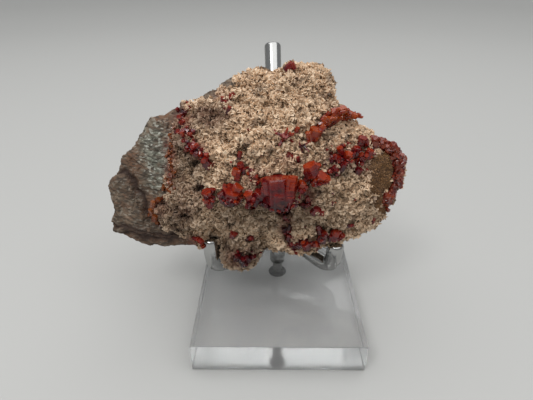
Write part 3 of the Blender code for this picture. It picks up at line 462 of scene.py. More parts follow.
def patch_mask(places, patches):
    """How strongly each place lies in any of the patches, from 0 to 1."""
    mask = np.zeros(len(places))
    for u, w, reach_u, reach_w, strength in patches:
        distance = ((places[:, 0] - u) / reach_u) ** 2 + ((places[:, 1] - w) / reach_w) ** 2
        mask = np.maximum(mask, strength * np.clip(1.6 * np.exp(-1.2 * distance), 0, 1))
    return mask


def smooth_step(values):
    values = np.clip(values, 0, 1)
    return values * values * (3 - 2 * values)


def line_distance(places, line):
    """Distance in the display frame from each place to a line of (u, w) points."""
    nearest = np.full(len(places), 1e9)
    for start, end in zip(line, line[1:]):
        start = np.array(start)
        along = np.array(end) - start
        share = np.clip((places - start) @ along / (along @ along), 0, 1)
        gap = np.linalg.norm(places - start - share[:, None] * along, axis=1)
        nearest = np.minimum(nearest, gap)
    return nearest


# ---------------------------------------------------------------- meshes


def form_of(shape):
    """A small shape's points and faces, as a pattern for a pile of copies."""
    shape.verts.index_update()
    points = np.array([vertex.co for vertex in shape.verts])
    faces = [[vertex.index for vertex in face.verts] for face in shape.faces]
    shape.free()
    return points, faces


class Pile:
    """Many small closed shapes gathered into one mesh. Each keeps a tone and its place along its length."""

    def __init__(self):
        self.points = []
        self.faces = []
        self.marks = {"tone": [], "along": [], "end": []}
        self.count = 0

    def add(self, form, place, tone):
        points, faces = form
        matrix = np.array(place)
        self.points.append(points @ matrix[:3, :3].T + matrix[:3, 3])
        self.faces.extend([index + self.count for index in face] for face in faces)
        self.marks["tone"].append(np.full(len(points), tone))
        self.marks["along"].append(points[:, 2] * np.linalg.norm(matrix[:3, 2]))
        self.marks["end"].append(np.clip(points[:, 2], -0.5, 0.5))
        self.count += len(points)

    def piece(self, name, surface):
        mesh = bpy.data.meshes.new(name)
        mesh.from_pydata(np.concatenate(self.points), [], self.faces)
        for mark, values in self.marks.items():
            write_attribute(mesh, mark, np.concatenate(values))
        return new_piece(name, mesh, surface)


def write_attribute(mesh, name, values):
    attribute = mesh.attributes.new(name, "FLOAT", "POINT")
    attribute.data.foreach_set("value", np.asarray(values, np.float32))


def new_piece(name, mesh, surface):
    made = bpy.data.objects.new(name, mesh)
    bpy.context.scene.collection.objects.link(made)
    mesh.materials.append(surface)
    return made


def seat(piece, nodes=()):
    """Puts the piece on the stand's body, for the CAD nodes that it stands for."""
    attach(piece, "root")
    if nodes:
        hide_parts(*nodes)
    return piece


def mesh_of(shape, name):
    mesh = bpy.data.meshes.new(name)
    shape.to_mesh(mesh)
    shape.free()
    return mesh


def turned(profile, steps):
    """A closed shape turned round the upright axis, from the (radius, height) corners of its profile."""
    shape = bmesh.new()
    corners = [shape.verts.new((radius * MM, 0.0, height * MM)) for radius, height in profile]
    edges = [shape.edges.new(pair) for pair in zip(corners, corners[1:])]
    bmesh.ops.spin(
        shape, geom=corners + edges, axis=(0, 0, 1), cent=(0, 0, 0), steps=steps, angle=math.tau,
        use_merge=True,
    )
    bmesh.ops.remove_doubles(shape, verts=shape.verts, dist=WELD)
    bmesh.ops.recalc_face_normals(shape, faces=shape.faces)
    return shape


def welded(node, name):
    """A mesh of a CAD node with the vertices at one place joined, in the same order every time."""
    source = NODES[node].data
    points = points_of(source)
    _, first, index = np.unique(np.round(points / WELD), axis=0, return_index=True, return_inverse=True)
    index = index.reshape(-1)
    faces = [[int(index[corner]) for corner in polygon.vertices] for polygon in source.polygons]
    mesh = bpy.data.meshes.new(name)
    mesh.from_pydata(points[first], [], [face for face in faces if len(set(face)) == len(face)])
    return mesh


def points_of(mesh):
    points = np.empty(len(mesh.vertices) * 3, np.float32)
    mesh.vertices.foreach_get("co", points)
    return points.reshape(-1, 3).astype(float)


def values_of(mesh, name):
    values = np.empty(len(mesh.vertices), np.float32)
    mesh.attributes[name].data.foreach_get("value", values)
    return values.astype(float)


class Surface:
    """A mesh to scatter on: its triangles, their areas, and their corners' masks."""

    def __init__(self, mesh):
        mesh.calc_loop_triangles()
        self.mesh = mesh
        self.points = points_of(mesh)
        corners = np.empty(len(mesh.loop_triangles) * 3, np.int32)
        mesh.loop_triangles.foreach_get("vertices", corners)
        self.corners = corners.reshape(-1, 3)
        a, b, c = (self.points[self.corners[:, index]] for index in range(3))
        cross = np.cross(b - a, c - a)
        self.areas = np.linalg.norm(cross, axis=1) / 2
        self.normals = cross / np.maximum(np.linalg.norm(cross, axis=1), 1e-18)[:, None]

    def scatter(self, mask, tries, spacing, rng):
        """Random places where the mask is above 0, no two nearer than spacing."""
        weights = self.areas * mask[self.corners].mean(axis=1)
        total = np.cumsum(weights)
        chosen = np.searchsorted(total, rng.random(tries) * total[-1])
        first, second = rng.random(tries), rng.random(tries)
        over = first + second > 1
        first[over], second[over] = 1 - first[over], 1 - second[over]
        a, b, c = (self.points[self.corners[chosen, index]] for index in range(3))
        found = a + (b - a) * first[:, None] + (c - a) * second[:, None]
        kept = []
        taken = {}
        cells = np.floor(found / spacing).astype(int)
        for index, cell in enumerate(map(tuple, cells)):
            near = (
                other
                for x in (-1, 0, 1) for y in (-1, 0, 1) for z in (-1, 0, 1)
                for other in taken.get((cell[0] + x, cell[1] + y, cell[2] + z), ())
            )
            if all(np.sum((found[index] - found[other]) ** 2) >= spacing * spacing for other in near):
                taken.setdefault(cell, []).append(index)
                kept.append(index)
        return found[kept], self.normals[chosen[kept]]


def chance_vector(rng, reach):
    return Vector([rng.uniform(-reach, reach) for _ in range(3)])


def placed(centre, axis, facing, spin, size):
    """A matrix at centre with its Z along axis, its X turned towards facing, then spun and scaled."""
    axis = Vector(axis).normalized()
    side = Vector(facing) - axis * axis.dot(Vector(facing))
    if side.length < 1e-6:
        side = axis.orthogonal()
    side.normalize()
    turn = Matrix((side, axis.cross(side), axis)).transposed().to_4x4()
    spun = turn @ Matrix.Rotation(spin, 4, "Z") @ Matrix.Diagonal((*size, 1.0))
    return Matrix.Translation(Vector(centre)) @ spun


# ---------------------------------------------------------------- materials


class Nodes:
    """Short ways to add and join a tree's nodes."""

    def __init__(self, tree):
        self.tree = tree

    def add(self, kind, **settings):
        node = self.tree.nodes.new(kind)
        for name, value in settings.items():
            setattr(node, name, value)
        return node

    def join(self, source, target):
        self.tree.links.new(source, target)

    def feed(self, socket, value):
        """Sets a socket to a number or colour, or joins it to another node's output."""
        if isinstance(value, bpy.types.NodeSocket):
            self.join(value, socket)
        elif hasattr(value, "__len__") and len(value) == 3 and socket.type == "RGBA":
            socket.default_value = (*value, 1.0)
        else:
            socket.default_value = value

    def dress(self, node, values):
        """Feeds a node's inputs, given by name or number."""
        for name, value in values.items():
            self.feed(node.inputs[name], value)
        return node.outputs

    def math(self, operation, first, second=0.0, clamp=False):
        node = self.add("ShaderNodeMath", operation=operation, use_clamp=clamp)
        return self.dress(node, {0: first, 1: second})[0]

    def mix(self, share, first, second):
        node = self.add("ShaderNodeMix", data_type="RGBA")
        return self.dress(node, {0: share, 6: first, 7: second})[2]

    def spread(self, value, low, high, to_low=0.0, to_high=1.0):
        node = self.add("ShaderNodeMapRange", clamp=True)
        limits = {"From Min": low, "From Max": high, "To Min": to_low, "To Max": to_high}
        return self.dress(node, {"Value": value, **limits})["Result"]

    def noise(self, vector, scale, detail, roughness):
        node = self.add("ShaderNodeTexNoise")
        values = {"Vector": vector, "Scale": scale, "Detail": detail, "Roughness": roughness}
        return self.dress(node, values)["Fac"]

    def attribute(self, name):
        return self.add("ShaderNodeAttribute", attribute_name=name).outputs["Fac"]

    def broken(self, name, value, low, high, to_low, to_high):
        """An attribute made stronger or weaker by a value."""
        return self.math("MULTIPLY", self.attribute(name), self.spread(value, low, high, to_low, to_high))

    def varied(self, value, by, low, high, reach_low, reach_high, clamp=False):
        """A value with another, spread between two limits, added to it."""
        return self.math("ADD", value, self.spread(by, low, high, reach_low, reach_high), clamp)

    def place(self):
        return self.add("ShaderNodeTexCoord").outputs["Object"]

    def stretched(self, vector, scale, turn=0.0):
        """The vector scaled, and turned about Y."""
        node = self.add("ShaderNodeMapping")
        return self.dress(node, {"Vector": vector, "Scale": scale, "Rotation": (0.0, turn, 0.0)})["Vector"]

    def bump(self, height, distance, strength):
        node = self.add("ShaderNodeBump")
        return self.dress(node, {"Height": height, "Distance": distance, "Strength": strength})["Normal"]

    def absorb(self, colour, density):
        """Dims the light inside the material towards a colour."""
        depth = self.dress(self.add("ShaderNodeVolumeAbsorption"), {"Color": colour, "Density": density})
        self.join(depth[0], self.tree.nodes["Material Output"].inputs["Volume"])


def new_material(name):
    made = bpy.data.materials.new(name)
    made.use_nodes = True
    return made, Nodes(made.node_tree), made.node_tree.nodes["Principled BSDF"]


def grain_group():
    """Mineral grain: coarse clouds, fine specks and a height, from a position."""
    name = "mineral_grain"
    if name in bpy.data.node_groups:
        return bpy.data.node_groups[name]
    tree = bpy.data.node_groups.new(name, "ShaderNodeTree")
    face = tree.interface
    face.new_socket("Position", in_out="INPUT", socket_type="NodeSocketVector")
    for label, default in (("Cloud Scale", 260.0), ("Speck Scale", 1900.0)):
        face.new_socket(label, in_out="INPUT", socket_type="NodeSocketFloat").default_value = default
    for label in ("Clouds", "Specks", "Height"):
        face.new_socket(label, in_out="OUTPUT", socket_type="NodeSocketFloat")
    nodes = Nodes(tree)
    source = nodes.add("NodeGroupInput").outputs
    result = nodes.add("NodeGroupOutput").inputs
    clouds = nodes.noise(source["Position"], source["Cloud Scale"], 5.0, 0.6)
    specks = nodes.noise(source["Position"], source["Speck Scale"], 4.0, 0.6)
    nodes.join(nodes.spread(clouds, 0.34, 0.66), result["Clouds"])
    nodes.join(nodes.spread(specks, 0.36, 0.66), result["Specks"])
    height = nodes.math("MULTIPLY_ADD", specks, 0.6)
    nodes.join(clouds, height.node.inputs[2])
    nodes.join(height, result["Height"])
    return tree


def grain(nodes, cloud_scale, speck_scale):
    node = nodes.add("ShaderNodeGroup", node_tree=grain_group())
    values = {"Position": nodes.place(), "Cloud Scale": cloud_scale, "Speck Scale": speck_scale}
    return nodes.dress(node, values)


def darker(colour, share):
    return [value * share for value in colour]


def acrylic_material():
    made, nodes, shader = new_material("acrylic")
    scuffs = grain(nodes, 90.0, 1400.0)
    nodes.dress(shader, {
        "Base Color": (1.0, 1.0, 1.0), "Transmission Weight": 0.86, "IOR": 1.49,
        "Roughness": nodes.spread(scuffs["Clouds"], 0.3, 1.0, 0.05, 0.12),
    })
    nodes.absorb((0.33, 0.36, 0.34), 14.0)
    return made


def steel_material(settings, name):
    """Polished rod steel. The screw's steel is painted near black round its head."""
    made, nodes, shader = new_material(name)
    marks = grain(nodes, 160.0, 1200.0)
    colour = nodes.mix(marks["Clouds"], settings.steel_colour, darker(settings.steel_colour, 0.85))
    if name == "screw_steel":
        height = nodes.dress(nodes.add("ShaderNodeSeparateXYZ"), {0: nodes.place()})["Z"]
        colour = nodes.mix(nodes.spread(height, 0.0015, 0.0026), (0.06, 0.06, 0.06), colour)
    rough = settings.steel_roughness
    nodes.dress(shader, {
        "Base Color": colour, "Metallic": 1.0,
        "Roughness": nodes.spread(marks["Specks"], 0.0, 1.0, rough * 0.8, rough * 1.35),
        "Normal": nodes.bump(marks["Height"], 0.000004, 0.25),
    })
    return made


def rock_material(settings):
    """Grey-green host rock, its rusty ledges, and the brown ground under the crust, with painted shade in its
    crease and pits and painted glints on its pale flecks.
    """
    made, nodes, shader = new_material("host_rock")
    marks = grain(nodes, 300.0, 1500.0)
    place = nodes.place()
    colour = nodes.mix(marks["Clouds"], settings.host_colour, darker(settings.host_colour, 0.45))
    pale = nodes.mix(marks["Clouds"], (0.29, 0.29, 0.23), (0.12, 0.125, 0.098))
    bands = nodes.noise(nodes.stretched(place, (150.0, 150.0, 1100.0), 0.3), 1.0, 4.0, 0.65)
    warm = nodes.noise(nodes.stretched(place, (420.0, 420.0, 700.0)), 1.0, 3.0, 0.6)
    rust = nodes.broken("rust", marks["Clouds"], 0.0, 0.7, 1.0, 0.6)
    chips = nodes.add("ShaderNodeTexVoronoi")
    chip_place = nodes.stretched(place, (1100.0, 1500.0, 2900.0), 0.5)
    chips = nodes.dress(chips, {"Vector": chip_place, "Scale": 1.0})["Color"]
    # Pale grains of the host rock, painted bright as glints
    shine = nodes.noise(place, 1300.0, 2.0, 0.5)
    fleck_glint = nodes.math("MULTIPLY", nodes.spread(chips, 0.6, 0.72), nodes.spread(shine, 0.42, 0.56))
    fleck_glint = nodes.math("MULTIPLY", fleck_glint, nodes.spread(nodes.attribute("pale"), 0.0, 0.8, 0.22, 0.9))
    shade = nodes.math("MULTIPLY", nodes.spread(chips, 0.4, 0.28), 0.7)
    ground = nodes.mix(marks["Clouds"], settings.crust_colour, darker(settings.crust_colour, 0.5))
    # Painted shade on the floors of the pits
    pit_shade = nodes.mix(marks["Clouds"], (0.045, 0.026, 0.018), (0.022, 0.014, 0.011))
    stain = nodes.broken("stain", marks["Specks"], 0.2, 0.9, 0.2, 1.0)
    velvet = nodes.mix(marks["Specks"], (0.18, 0.095, 0.042), (0.07, 0.035, 0.018))
    for share, tint in (
        (nodes.attribute("pale"), pale),
        (nodes.spread(bands, 0.5, 0.6, 0.0, 0.7), (0.075, 0.046, 0.03)),
        (nodes.spread(warm, 0.52, 0.66, 0.0, 0.6), (0.16, 0.085, 0.05)),
        (rust, (0.15, 0.072, 0.038)),
        (fleck_glint, (0.46, 0.46, 0.4)),
        (shade, (0.045, 0.036, 0.028)),
        # Painted shade along the crease
        (nodes.attribute("crease"), (0.04, 0.022, 0.016)),
        (nodes.attribute("crust"), ground),
        (nodes.spread(nodes.attribute("pits"), 0.15, 0.8), pit_shade),
        (stain, (0.2, 0.026, 0.016)),
        (nodes.attribute("velvet"), velvet),
    ):
        colour = nodes.mix(share, colour, tint)
    nodes.dress(shader, {
        "Base Color": colour, "Specular IOR Level": 0.35,
        "Roughness": nodes.spread(marks["Specks"], 0.0, 1.0, 0.62, 0.86),
        "Normal": nodes.bump(marks["Height"], 0.00013, 0.8),
    })
    return made


def druse_material(settings):
    """Sugary blades, from clean cream to iron tan, with painted shade in the crust's hollows and painted
    light on its bulges.
    """
    made, nodes, shader = new_material("druse_blades")
    marks = grain(nodes, 210.0, 2600.0)
    tone = nodes.varied(nodes.attribute("tone"), marks["Clouds"], 0.0, 1.0, -0.3, 0.3, True)
    colour = nodes.mix(tone, settings.tan_colour, settings.pale_colour)
    stain = nodes.broken("stain", marks["Clouds"], 0.2, 0.9, 1.0, 0.3)
    dim = nodes.broken("dim", marks["Clouds"], 0.0, 1.0, 1.2, 0.5)
    # Painted shade: the blades of lowest tone, deepest in the crust's crevices and hollows, turn dark brown
    colour = nodes.mix(nodes.spread(tone, 0.16, 0.0, 0.0, 0.72), colour, (0.17, 0.105, 0.07))
    # Painted shade: blades in the hollows, the pits, under the crystal row and low on the face turn dark
    # brown, as do some brown blades
    colour = nodes.mix(dim, colour, (0.11, 0.068, 0.048))
    nodes.dress(shader, {
        "Base Color": nodes.mix(stain, colour, (0.26, 0.05, 0.03)), "Specular IOR Level": 0.5,
        "Roughness": nodes.spread(marks["Specks"], 0.0, 1.0, 0.34, 0.6),
        "Normal": nodes.bump(marks["Height"], 0.00006, 0.5),
    })
    return made


def crystal_material(settings, name):
    """Lead vanadate: resinous and half clear, banded across its length, brighter towards its end with a
    painted glow of light through it.
    """
    made, nodes, shader = new_material(name)
    deep, middle, bright = CRYSTAL_FINISHES[name]
    marks = grain(nodes, 640.0, 2600.0)
    along = nodes.math("MULTIPLY", nodes.attribute("along"), 2400.0)
    apart = nodes.math("MULTIPLY", nodes.attribute("tone"), 31.0)
    place = nodes.dress(nodes.add("ShaderNodeCombineXYZ"), {0: along, 1: apart})[0]
    bands = nodes.noise(place, 1.0, 2.5, 0.6)
    tone = nodes.varied(nodes.attribute("tone"), bands, 0.3, 0.7, -0.2, 0.2)
    tone = nodes.varied(tone, marks["Clouds"], 0.0, 1.0, -0.24, 0.22)
    # Painted glow: brighter and more orange towards each crystal's end
    tone = nodes.varied(tone, nodes.attribute("end"), -0.1, 0.5, 0.0, 0.38, True)
    colour = nodes.mix(nodes.spread(tone, 0.0, 0.42), deep, middle)
    colour = nodes.mix(nodes.spread(tone, 0.4, 1.0), colour, bright)
    veils = nodes.spread(nodes.noise(nodes.place(), 900.0, 3.0, 0.6), 0.58, 0.72, 0.0, 0.3)
    fine = nodes.math("MULTIPLY", marks["Height"], 0.25)
    height = nodes.math("ADD", nodes.math("MULTIPLY", bands, 0.8), fine)
    rough = settings.red_roughness
    nodes.dress(shader, {
        "Base Color": nodes.mix(veils, colour, (0.46, 0.13, 0.06)), "Specular IOR Level": 0.14,
        "Transmission Weight": settings.clear_share, "IOR": 1.75,
        "Roughness": nodes.spread(marks["Specks"], 0.2, 1.0, rough * 0.7, rough * 1.8),
        "Normal": nodes.bump(height, 0.00005, 0.6),
    })
    nodes.absorb((0.9, 0.08, 0.02), 520.0)
    return made


def velvet_material():
    made, nodes, shader = new_material("golden_velvet")
    marks = grain(nodes, 330.0, 2400.0)
    tone = nodes.varied(nodes.attribute("tone"), marks["Clouds"], 0.0, 1.0, -0.3, 0.3, True)
    nodes.dress(shader, {
        "Base Color": nodes.mix(tone, (0.085, 0.042, 0.02), (0.3, 0.155, 0.06)),
        "Roughness": nodes.spread(marks["Specks"], 0.0, 1.0, 0.5, 0.8),
    })
    return made


# ---------------------------------------------------------------- crystals' places


def cad_tree():
    """The CAD matrix and its crystals as one tree to cast rays at."""
    points = []
    faces = []
    count = 0
    for name in ("matrix",) + CRYSTAL_NODES:
        mesh = NODES[name].data
        points.extend(vertex.co.copy() for vertex in mesh.vertices)
        faces.extend([index + count for index in polygon.vertices] for polygon in mesh.polygons)
        count += len(mesh.vertices)
    return BVHTree.FromPolygons(points, faces)


def crystal_places(tree, rows, proud):
    """(centre, axis, radius, length, spin, form, tone) of each row, in metres and radians.

    Each crystal's front stands proud of the CAD's front at its (u, w).
    """
    places = []
    for u, w, right, up, out, radius, length, spin, tone, *form in rows:
        direction = sight(u, w)
        hit = tree.ray_cast(EYE, direction)[0]
        if hit is None:
            hit = tree.find_nearest(EYE + direction * DISTANCE * MM / direction.dot(FORWARD))[0]
        axis = (RIGHT * right + UP * up - FORWARD * out).normalized()
        lean = abs(axis.dot(direction))
        extent = lean * length / 2 + math.sqrt(1 - lean * lean) * radius * PRISM_SIDE
        centre = hit + direction * (extent - proud) * MM
        form = form[0] if form else "blunt"
        places.append((centre, axis, radius * MM, length * MM, math.radians(spin), form, tone))
    return places


def along_line(line, width, count, rng):
    """Places scattered along a line of (u, w) points, in order, each with the line's direction there."""
    lengths = np.cumsum([0.0] + [math.dist(a, b) for a, b in zip(line, line[1:])])
    for index in range(count):
        along = lengths[-1] * (index + rng.random()) / count
        stretch = min(int(np.searchsorted(lengths, along, "right")), len(line) - 1)
        start, end = line[stretch - 1], line[stretch]
        ahead = np.subtract(end, start) / math.dist(start, end)
        share = (along - lengths[stretch - 1]) / math.dist(start, end)
        u = start[0] + (end[0] - start[0]) * share + rng.gauss(0, 0.5) * width
        w = start[1] + (end[1] - start[1]) * share + rng.gauss(0, 0.5) * width
        yield u, w, float(ahead[0]), float(ahead[1])


def mass_rows(line, width, count, size, tone, lean):
    """Rows of small crystals that make a ragged mass, written as the rows of CRYSTALS are."""
    rng = random.Random(PLACE_SEED)
    rows = []
    for u, w, ahead_u, ahead_w in along_line(line, width, count, rng):
        radius = size * rng.uniform(0.45, 1.0)
        right, up = ahead_u * lean + rng.uniform(-0.5, 0.5), ahead_w * lean + rng.uniform(-0.3, 0.7)
        axis = (right, up, rng.uniform(0.1, 0.7))
        shade = tone + rng.uniform(-0.3, 0.3)
        form = rng.choice(("blunt", "blunt", "tapered"))
        rows.append((u, w, *axis, radius, radius * rng.uniform(1.6, 3.2), rng.uniform(0, 60), shade, form))
    return rows


def all_crystal_places():
    tree = cad_tree()
    places = {name: crystal_places(tree, rows, PROUD.get(name, SUNK)) for name, rows in CRYSTALS.items()}
    for name, mass in MASSES.items():
        places.setdefault(name, []).extend(crystal_places(tree, mass_rows(*mass), MASS_PROUD))
    for name, rows in MATRIX_CRYSTALS.items():
        places[name] = crystal_places(tree, rows, MATRIX_PROUD)
    return places


def crystal_forms():
    """Six-sided prisms of unit radius and unit length, ended in the ways these crystals end."""
    forms = {}
    for name, (top, bevel, rise) in PRISM_ENDS.items():
        shape = bmesh.new()
        bmesh.ops.create_cone(shape, cap_ends=True, segments=6, radius1=0.97, radius2=top, depth=1.0)
        if bevel:
            bmesh.ops.bevel(
                shape, geom=shape.edges[:], offset=bevel, segments=1, profile=0.5, affect="EDGES",
                material=-1,
            )
        else:
            top_face = max(shape.faces, key=lambda face: face.calc_center_median().z)
            low_face = min(shape.faces, key=lambda face: face.calc_center_median().z)
            bmesh.ops.inset_individual(shape, faces=[top_face], thickness=0.3, depth=rise)
            bmesh.ops.inset_individual(shape, faces=[low_face], thickness=0.25, depth=0.1)
        forms[name] = form_of(shape)
    return forms


def overgrowths(places, rng):
    """Smaller parallel crystals on the sides and ends of each large one."""
    grown = []
    for centre, axis, radius, length, spin, form, tone in places:
        if radius < LARGE_CRYSTAL:
            continue
        side = axis.orthogonal().normalized()
        for _ in range(int(radius / MM * 2.4)):
            out = Matrix.Rotation(rng.uniform(0, math.tau), 3, axis) @ side
            if radius > CLEAN_CRYSTAL and out.dot(FORWARD) < 0.1:
                continue
            share = rng.uniform(0.25, 0.5)
            shift = out * radius * rng.uniform(0.55, 0.85)
            shift += axis * length * rng.uniform(-0.4, 0.46 - share * 0.35)
            lean = chance_vector(rng, 0.12)
            shade = min(1.0, max(0.0, tone + rng.uniform(-0.22, 0.25)))
            size = radius * rng.uniform(0.2, 0.42)
            turn = spin + rng.uniform(-0.1, 0.1)
            grown.append((centre + shift, axis + lean, size, length * share, turn, form, shade))
    return grown


def crystal_pile(places, rng):
    """The crystals as one mesh, each edge a little uneven."""
    forms = crystal_forms()
    pile = Pile()
    for centre, axis, radius, length, spin, form, tone in list(places) + overgrowths(places, rng):
        points, faces = forms[form]
        most = 0.02 if radius > LARGE_CRYSTAL else 0.06
        wear = points + np.array([[rng.uniform(-most, most) for _ in range(3)] for _ in points])
        pile.add((wear, faces), placed(centre, axis, -FORWARD, spin, (radius, radius, length)), tone)
    return pile


# ---------------------------------------------------------------- rock


def crust_edge(places):
    """1 on the crust's side of its left edge, 0 on the bare host rock."""
    edge = np.interp(-places[:, 1], [-value for value in CRUST_EDGE_W], CRUST_EDGE_U)
    return smooth_step((places[:, 0] - edge) / 0.7)


def facet(place, scale):
    """Height of a broken surface made of small tilted planes."""
    _, centres = noise.voronoi(place * scale)
    tilt = noise.noise_vector(centres[0] * 3.7)
    return (place * scale - centres[0]).dot(tilt)


def lump(place):
    """How far the crust bulges or sinks at a place in millimetres, in millimetres."""
    near, second = noise.voronoi(place * 0.45)[0][:2]
    crevice = math.exp(-(((second - near) / 0.20) ** 2))
    return noise.noise(place * 0.36) * 1.15 + noise.noise(place * 0.95) * 0.6 - crevice * 0.65


def relief(place, crust, smooth):
    """How far the rock stands out at a place in millimetres, in millimetres."""
    strata = noise.noise(Vector((place.x * 0.3, place.y * 0.3, place.z * 1.7 + place.x * 0.5)))
    ledge = abs(noise.noise(Vector((place.x * 0.12, place.y * 0.2, place.z * 0.6 + place.x * 0.16)))) * 1.4
    host = facet(place, 0.36) * 0.62 + facet(place, 0.9) * 0.24 + facet(place, 2.0) * 0.07
    host = host + strata * 0.2 - ledge * 0.3
    soft = noise.noise(place * 1.3) * 0.16 + noise.noise(place * 4.0) * 0.06
    return (lump(place) * crust + host * (1 - crust)) * (1 - smooth) + soft * smooth


def fine_rock(settings):
    """The CAD matrix on a fine grid, with masks for its kinds of surface and relief moved into it."""
    holder = bpy.data.objects.new("coarse_matrix", welded("matrix", "coarse_matrix"))
    bpy.context.scene.collection.objects.link(holder)
    grid = holder.modifiers.new("grid", "REMESH")
    grid.mode = "VOXEL"
    grid.voxel_size = settings.grid_size
    graph = bpy.context.evaluated_depsgraph_get()
    mesh = bpy.data.meshes.new_from_object(holder.evaluated_get(graph))
    bpy.data.objects.remove(holder, do_unlink=True)

    points = points_of(mesh)
    normals = np.array([vertex.normal for vertex in mesh.vertices])
    places = display_places(points)
    warp = np.array([noise.noise_vector(Vector(point) * WARP_SCALE) for point in points])
    ragged = places + warp[:, :2] * WARP_REACH
    towards_eye = np.array(EYE) - points
    towards_eye /= np.linalg.norm(towards_eye, axis=1)[:, None]
    facing = np.sum(normals * towards_eye, axis=1)
    front = smooth_step((facing + 0.12) / 0.25)
    crust = crust_edge(ragged) * front * (1 - patch_mask(ragged, HOST_WINDOWS))
    crease_gap = np.min([line_distance(ragged, line) for line in CREASES], axis=0)
    masks = {
        "crust": crust,
        "velvet": patch_mask(ragged, VELVET_PATCH) * front,
        "pits": patch_mask(ragged, PITS) * front,
        "stain": patch_mask(ragged, RED_STAIN) * front,
        "rust": patch_mask(ragged, RUST_PATCH) * (1 - crust),
        "pale": patch_mask(ragged, PALE_PATCH) * (1 - crust),
        "crease": np.exp(-((crease_gap / CREASE_WIDTH) ** 2)) * (1 - crust) * front,
    }
    velvet = masks["velvet"]
    rise = np.array([
        relief(Vector(point) / MM, covered, even) for point, covered, even in zip(points, crust, velvet)
    ])
    rise = rise * MM - settings.crust_sink * crust * (1 - 0.6 * velvet)
    rise = rise - CREASE_DEPTH * masks["crease"] - PIT_DEPTH * masks["pits"]
    points += normals * rise[:, None]
    mesh.vertices.foreach_set("co", points.astype(np.float32).ravel())
    for name, values in masks.items():
        write_attribute(mesh, name, values)
    corners = [polygon.vertices[0] for polygon in mesh.polygons]
    mesh.polygons.foreach_set("use_smooth", crust[corners] > 0.5)
    mesh.update()
    return mesh


def clear_of_crystals(points, places):
    """Which points lie clear of every crystal's core."""
    clear = np.ones(len(points), bool)
    for centre, axis, radius, length, *_ in places:
        offset = points - np.array(centre)
        along = np.clip(offset @ np.array(axis), -length / 2, length / 2)
        gap = np.linalg.norm(offset - along[:, None] * np.array(axis), axis=1)
        clear &= gap > radius * CLEAR_MARGIN
    return clear


def blade_forms(rng):
    """Flat blades of unit size, set on edge, each a little different."""
    forms = []
    for _ in range(BLADE_FORMS):
        shape = bmesh.new()
        bmesh.ops.create_cone(shape, cap_ends=True, segments=4, radius1=0.52, radius2=0.36, depth=1.0)
        bmesh.ops.rotate(shape, verts=shape.verts, matrix=Matrix.Rotation(math.radians(90), 3, "X"))
        for vertex in shape.verts:
            vertex.co.x *= rng.uniform(0.8, 1.2)
            vertex.co.z *= rng.uniform(0.8, 1.25)
        forms.append(form_of(shape))
    return forms


# ---------------------------------------------------------------- operators


class SPECIMEN_OT_stage(Operator):
    """Makes the pale floor, the lamps and the camera"""

    bl_idname = "specimen.stage"
    bl_label = "Stage"

    def execute(self, context):
        settings = context.scene.specimen_stage
        self.make_floor(settings)
        self.make_lamps(settings)
        self.make_camera(context)
        context.scene.view_settings.view_transform = "Standard"
        return {"FINISHED"}

    def make_floor(self, settings):
        shape = turned(FLOOR_PROFILE, 64)
        if min(shape.faces, key=lambda face: face.calc_center_median().length).normal.z < 0:
            bmesh.ops.reverse_faces(shape, faces=shape.faces)
        mesh = mesh_of(shape, "floor")
        mesh.shade_smooth()
        made, nodes, shader = new_material("matt_floor")
        values = {"Base Color": settings.floor_colour, "Roughness": 0.7, "Specular IOR Level": 0.25}
        nodes.dress(shader, values)
        new_piece("floor", mesh, made)

    def make_lamps(self, settings):
        for name, (size, place, target) in LAMPS.items():
            data = bpy.data.lights.new(name, "AREA")
            data.energy = getattr(settings, name + "_power")
            data.size = size
            lamp = bpy.data.objects.new(name, data)
            lamp.location = place
            lamp.rotation_euler = (Vector(target) - Vector(place)).to_track_quat("-Z", "Y").to_euler()
            bpy.context.scene.collection.objects.link(lamp)
        world = bpy.data.worlds.new("even_room")
        world.use_nodes = True
        background = world.node_tree.nodes["Background"]
        background.inputs["Color"].default_value = (0.96, 0.98, 1.0, 1.0)
        background.inputs["Strength"].default_value = settings.room_light
        bpy.context.scene.world = world

    def make_camera(self, context):
        data = bpy.data.cameras.new("camera")
        data.sensor_width = 36.0
        data.lens = LENS
        data.clip_start = 0.001
        camera = bpy.data.objects.new("camera", data)
        turn = Matrix.Rotation(CAMERA_YAW, 4, "Z") @ Matrix.Rotation(math.radians(90) - PITCH, 4, "X")
        camera.matrix_world = Matrix.Translation(VIEWPOINT) @ turn @ Matrix.Rotation(CAMERA_ROLL, 4, "Z")
        context.scene.collection.objects.link(camera)
        context.scene.camera = camera


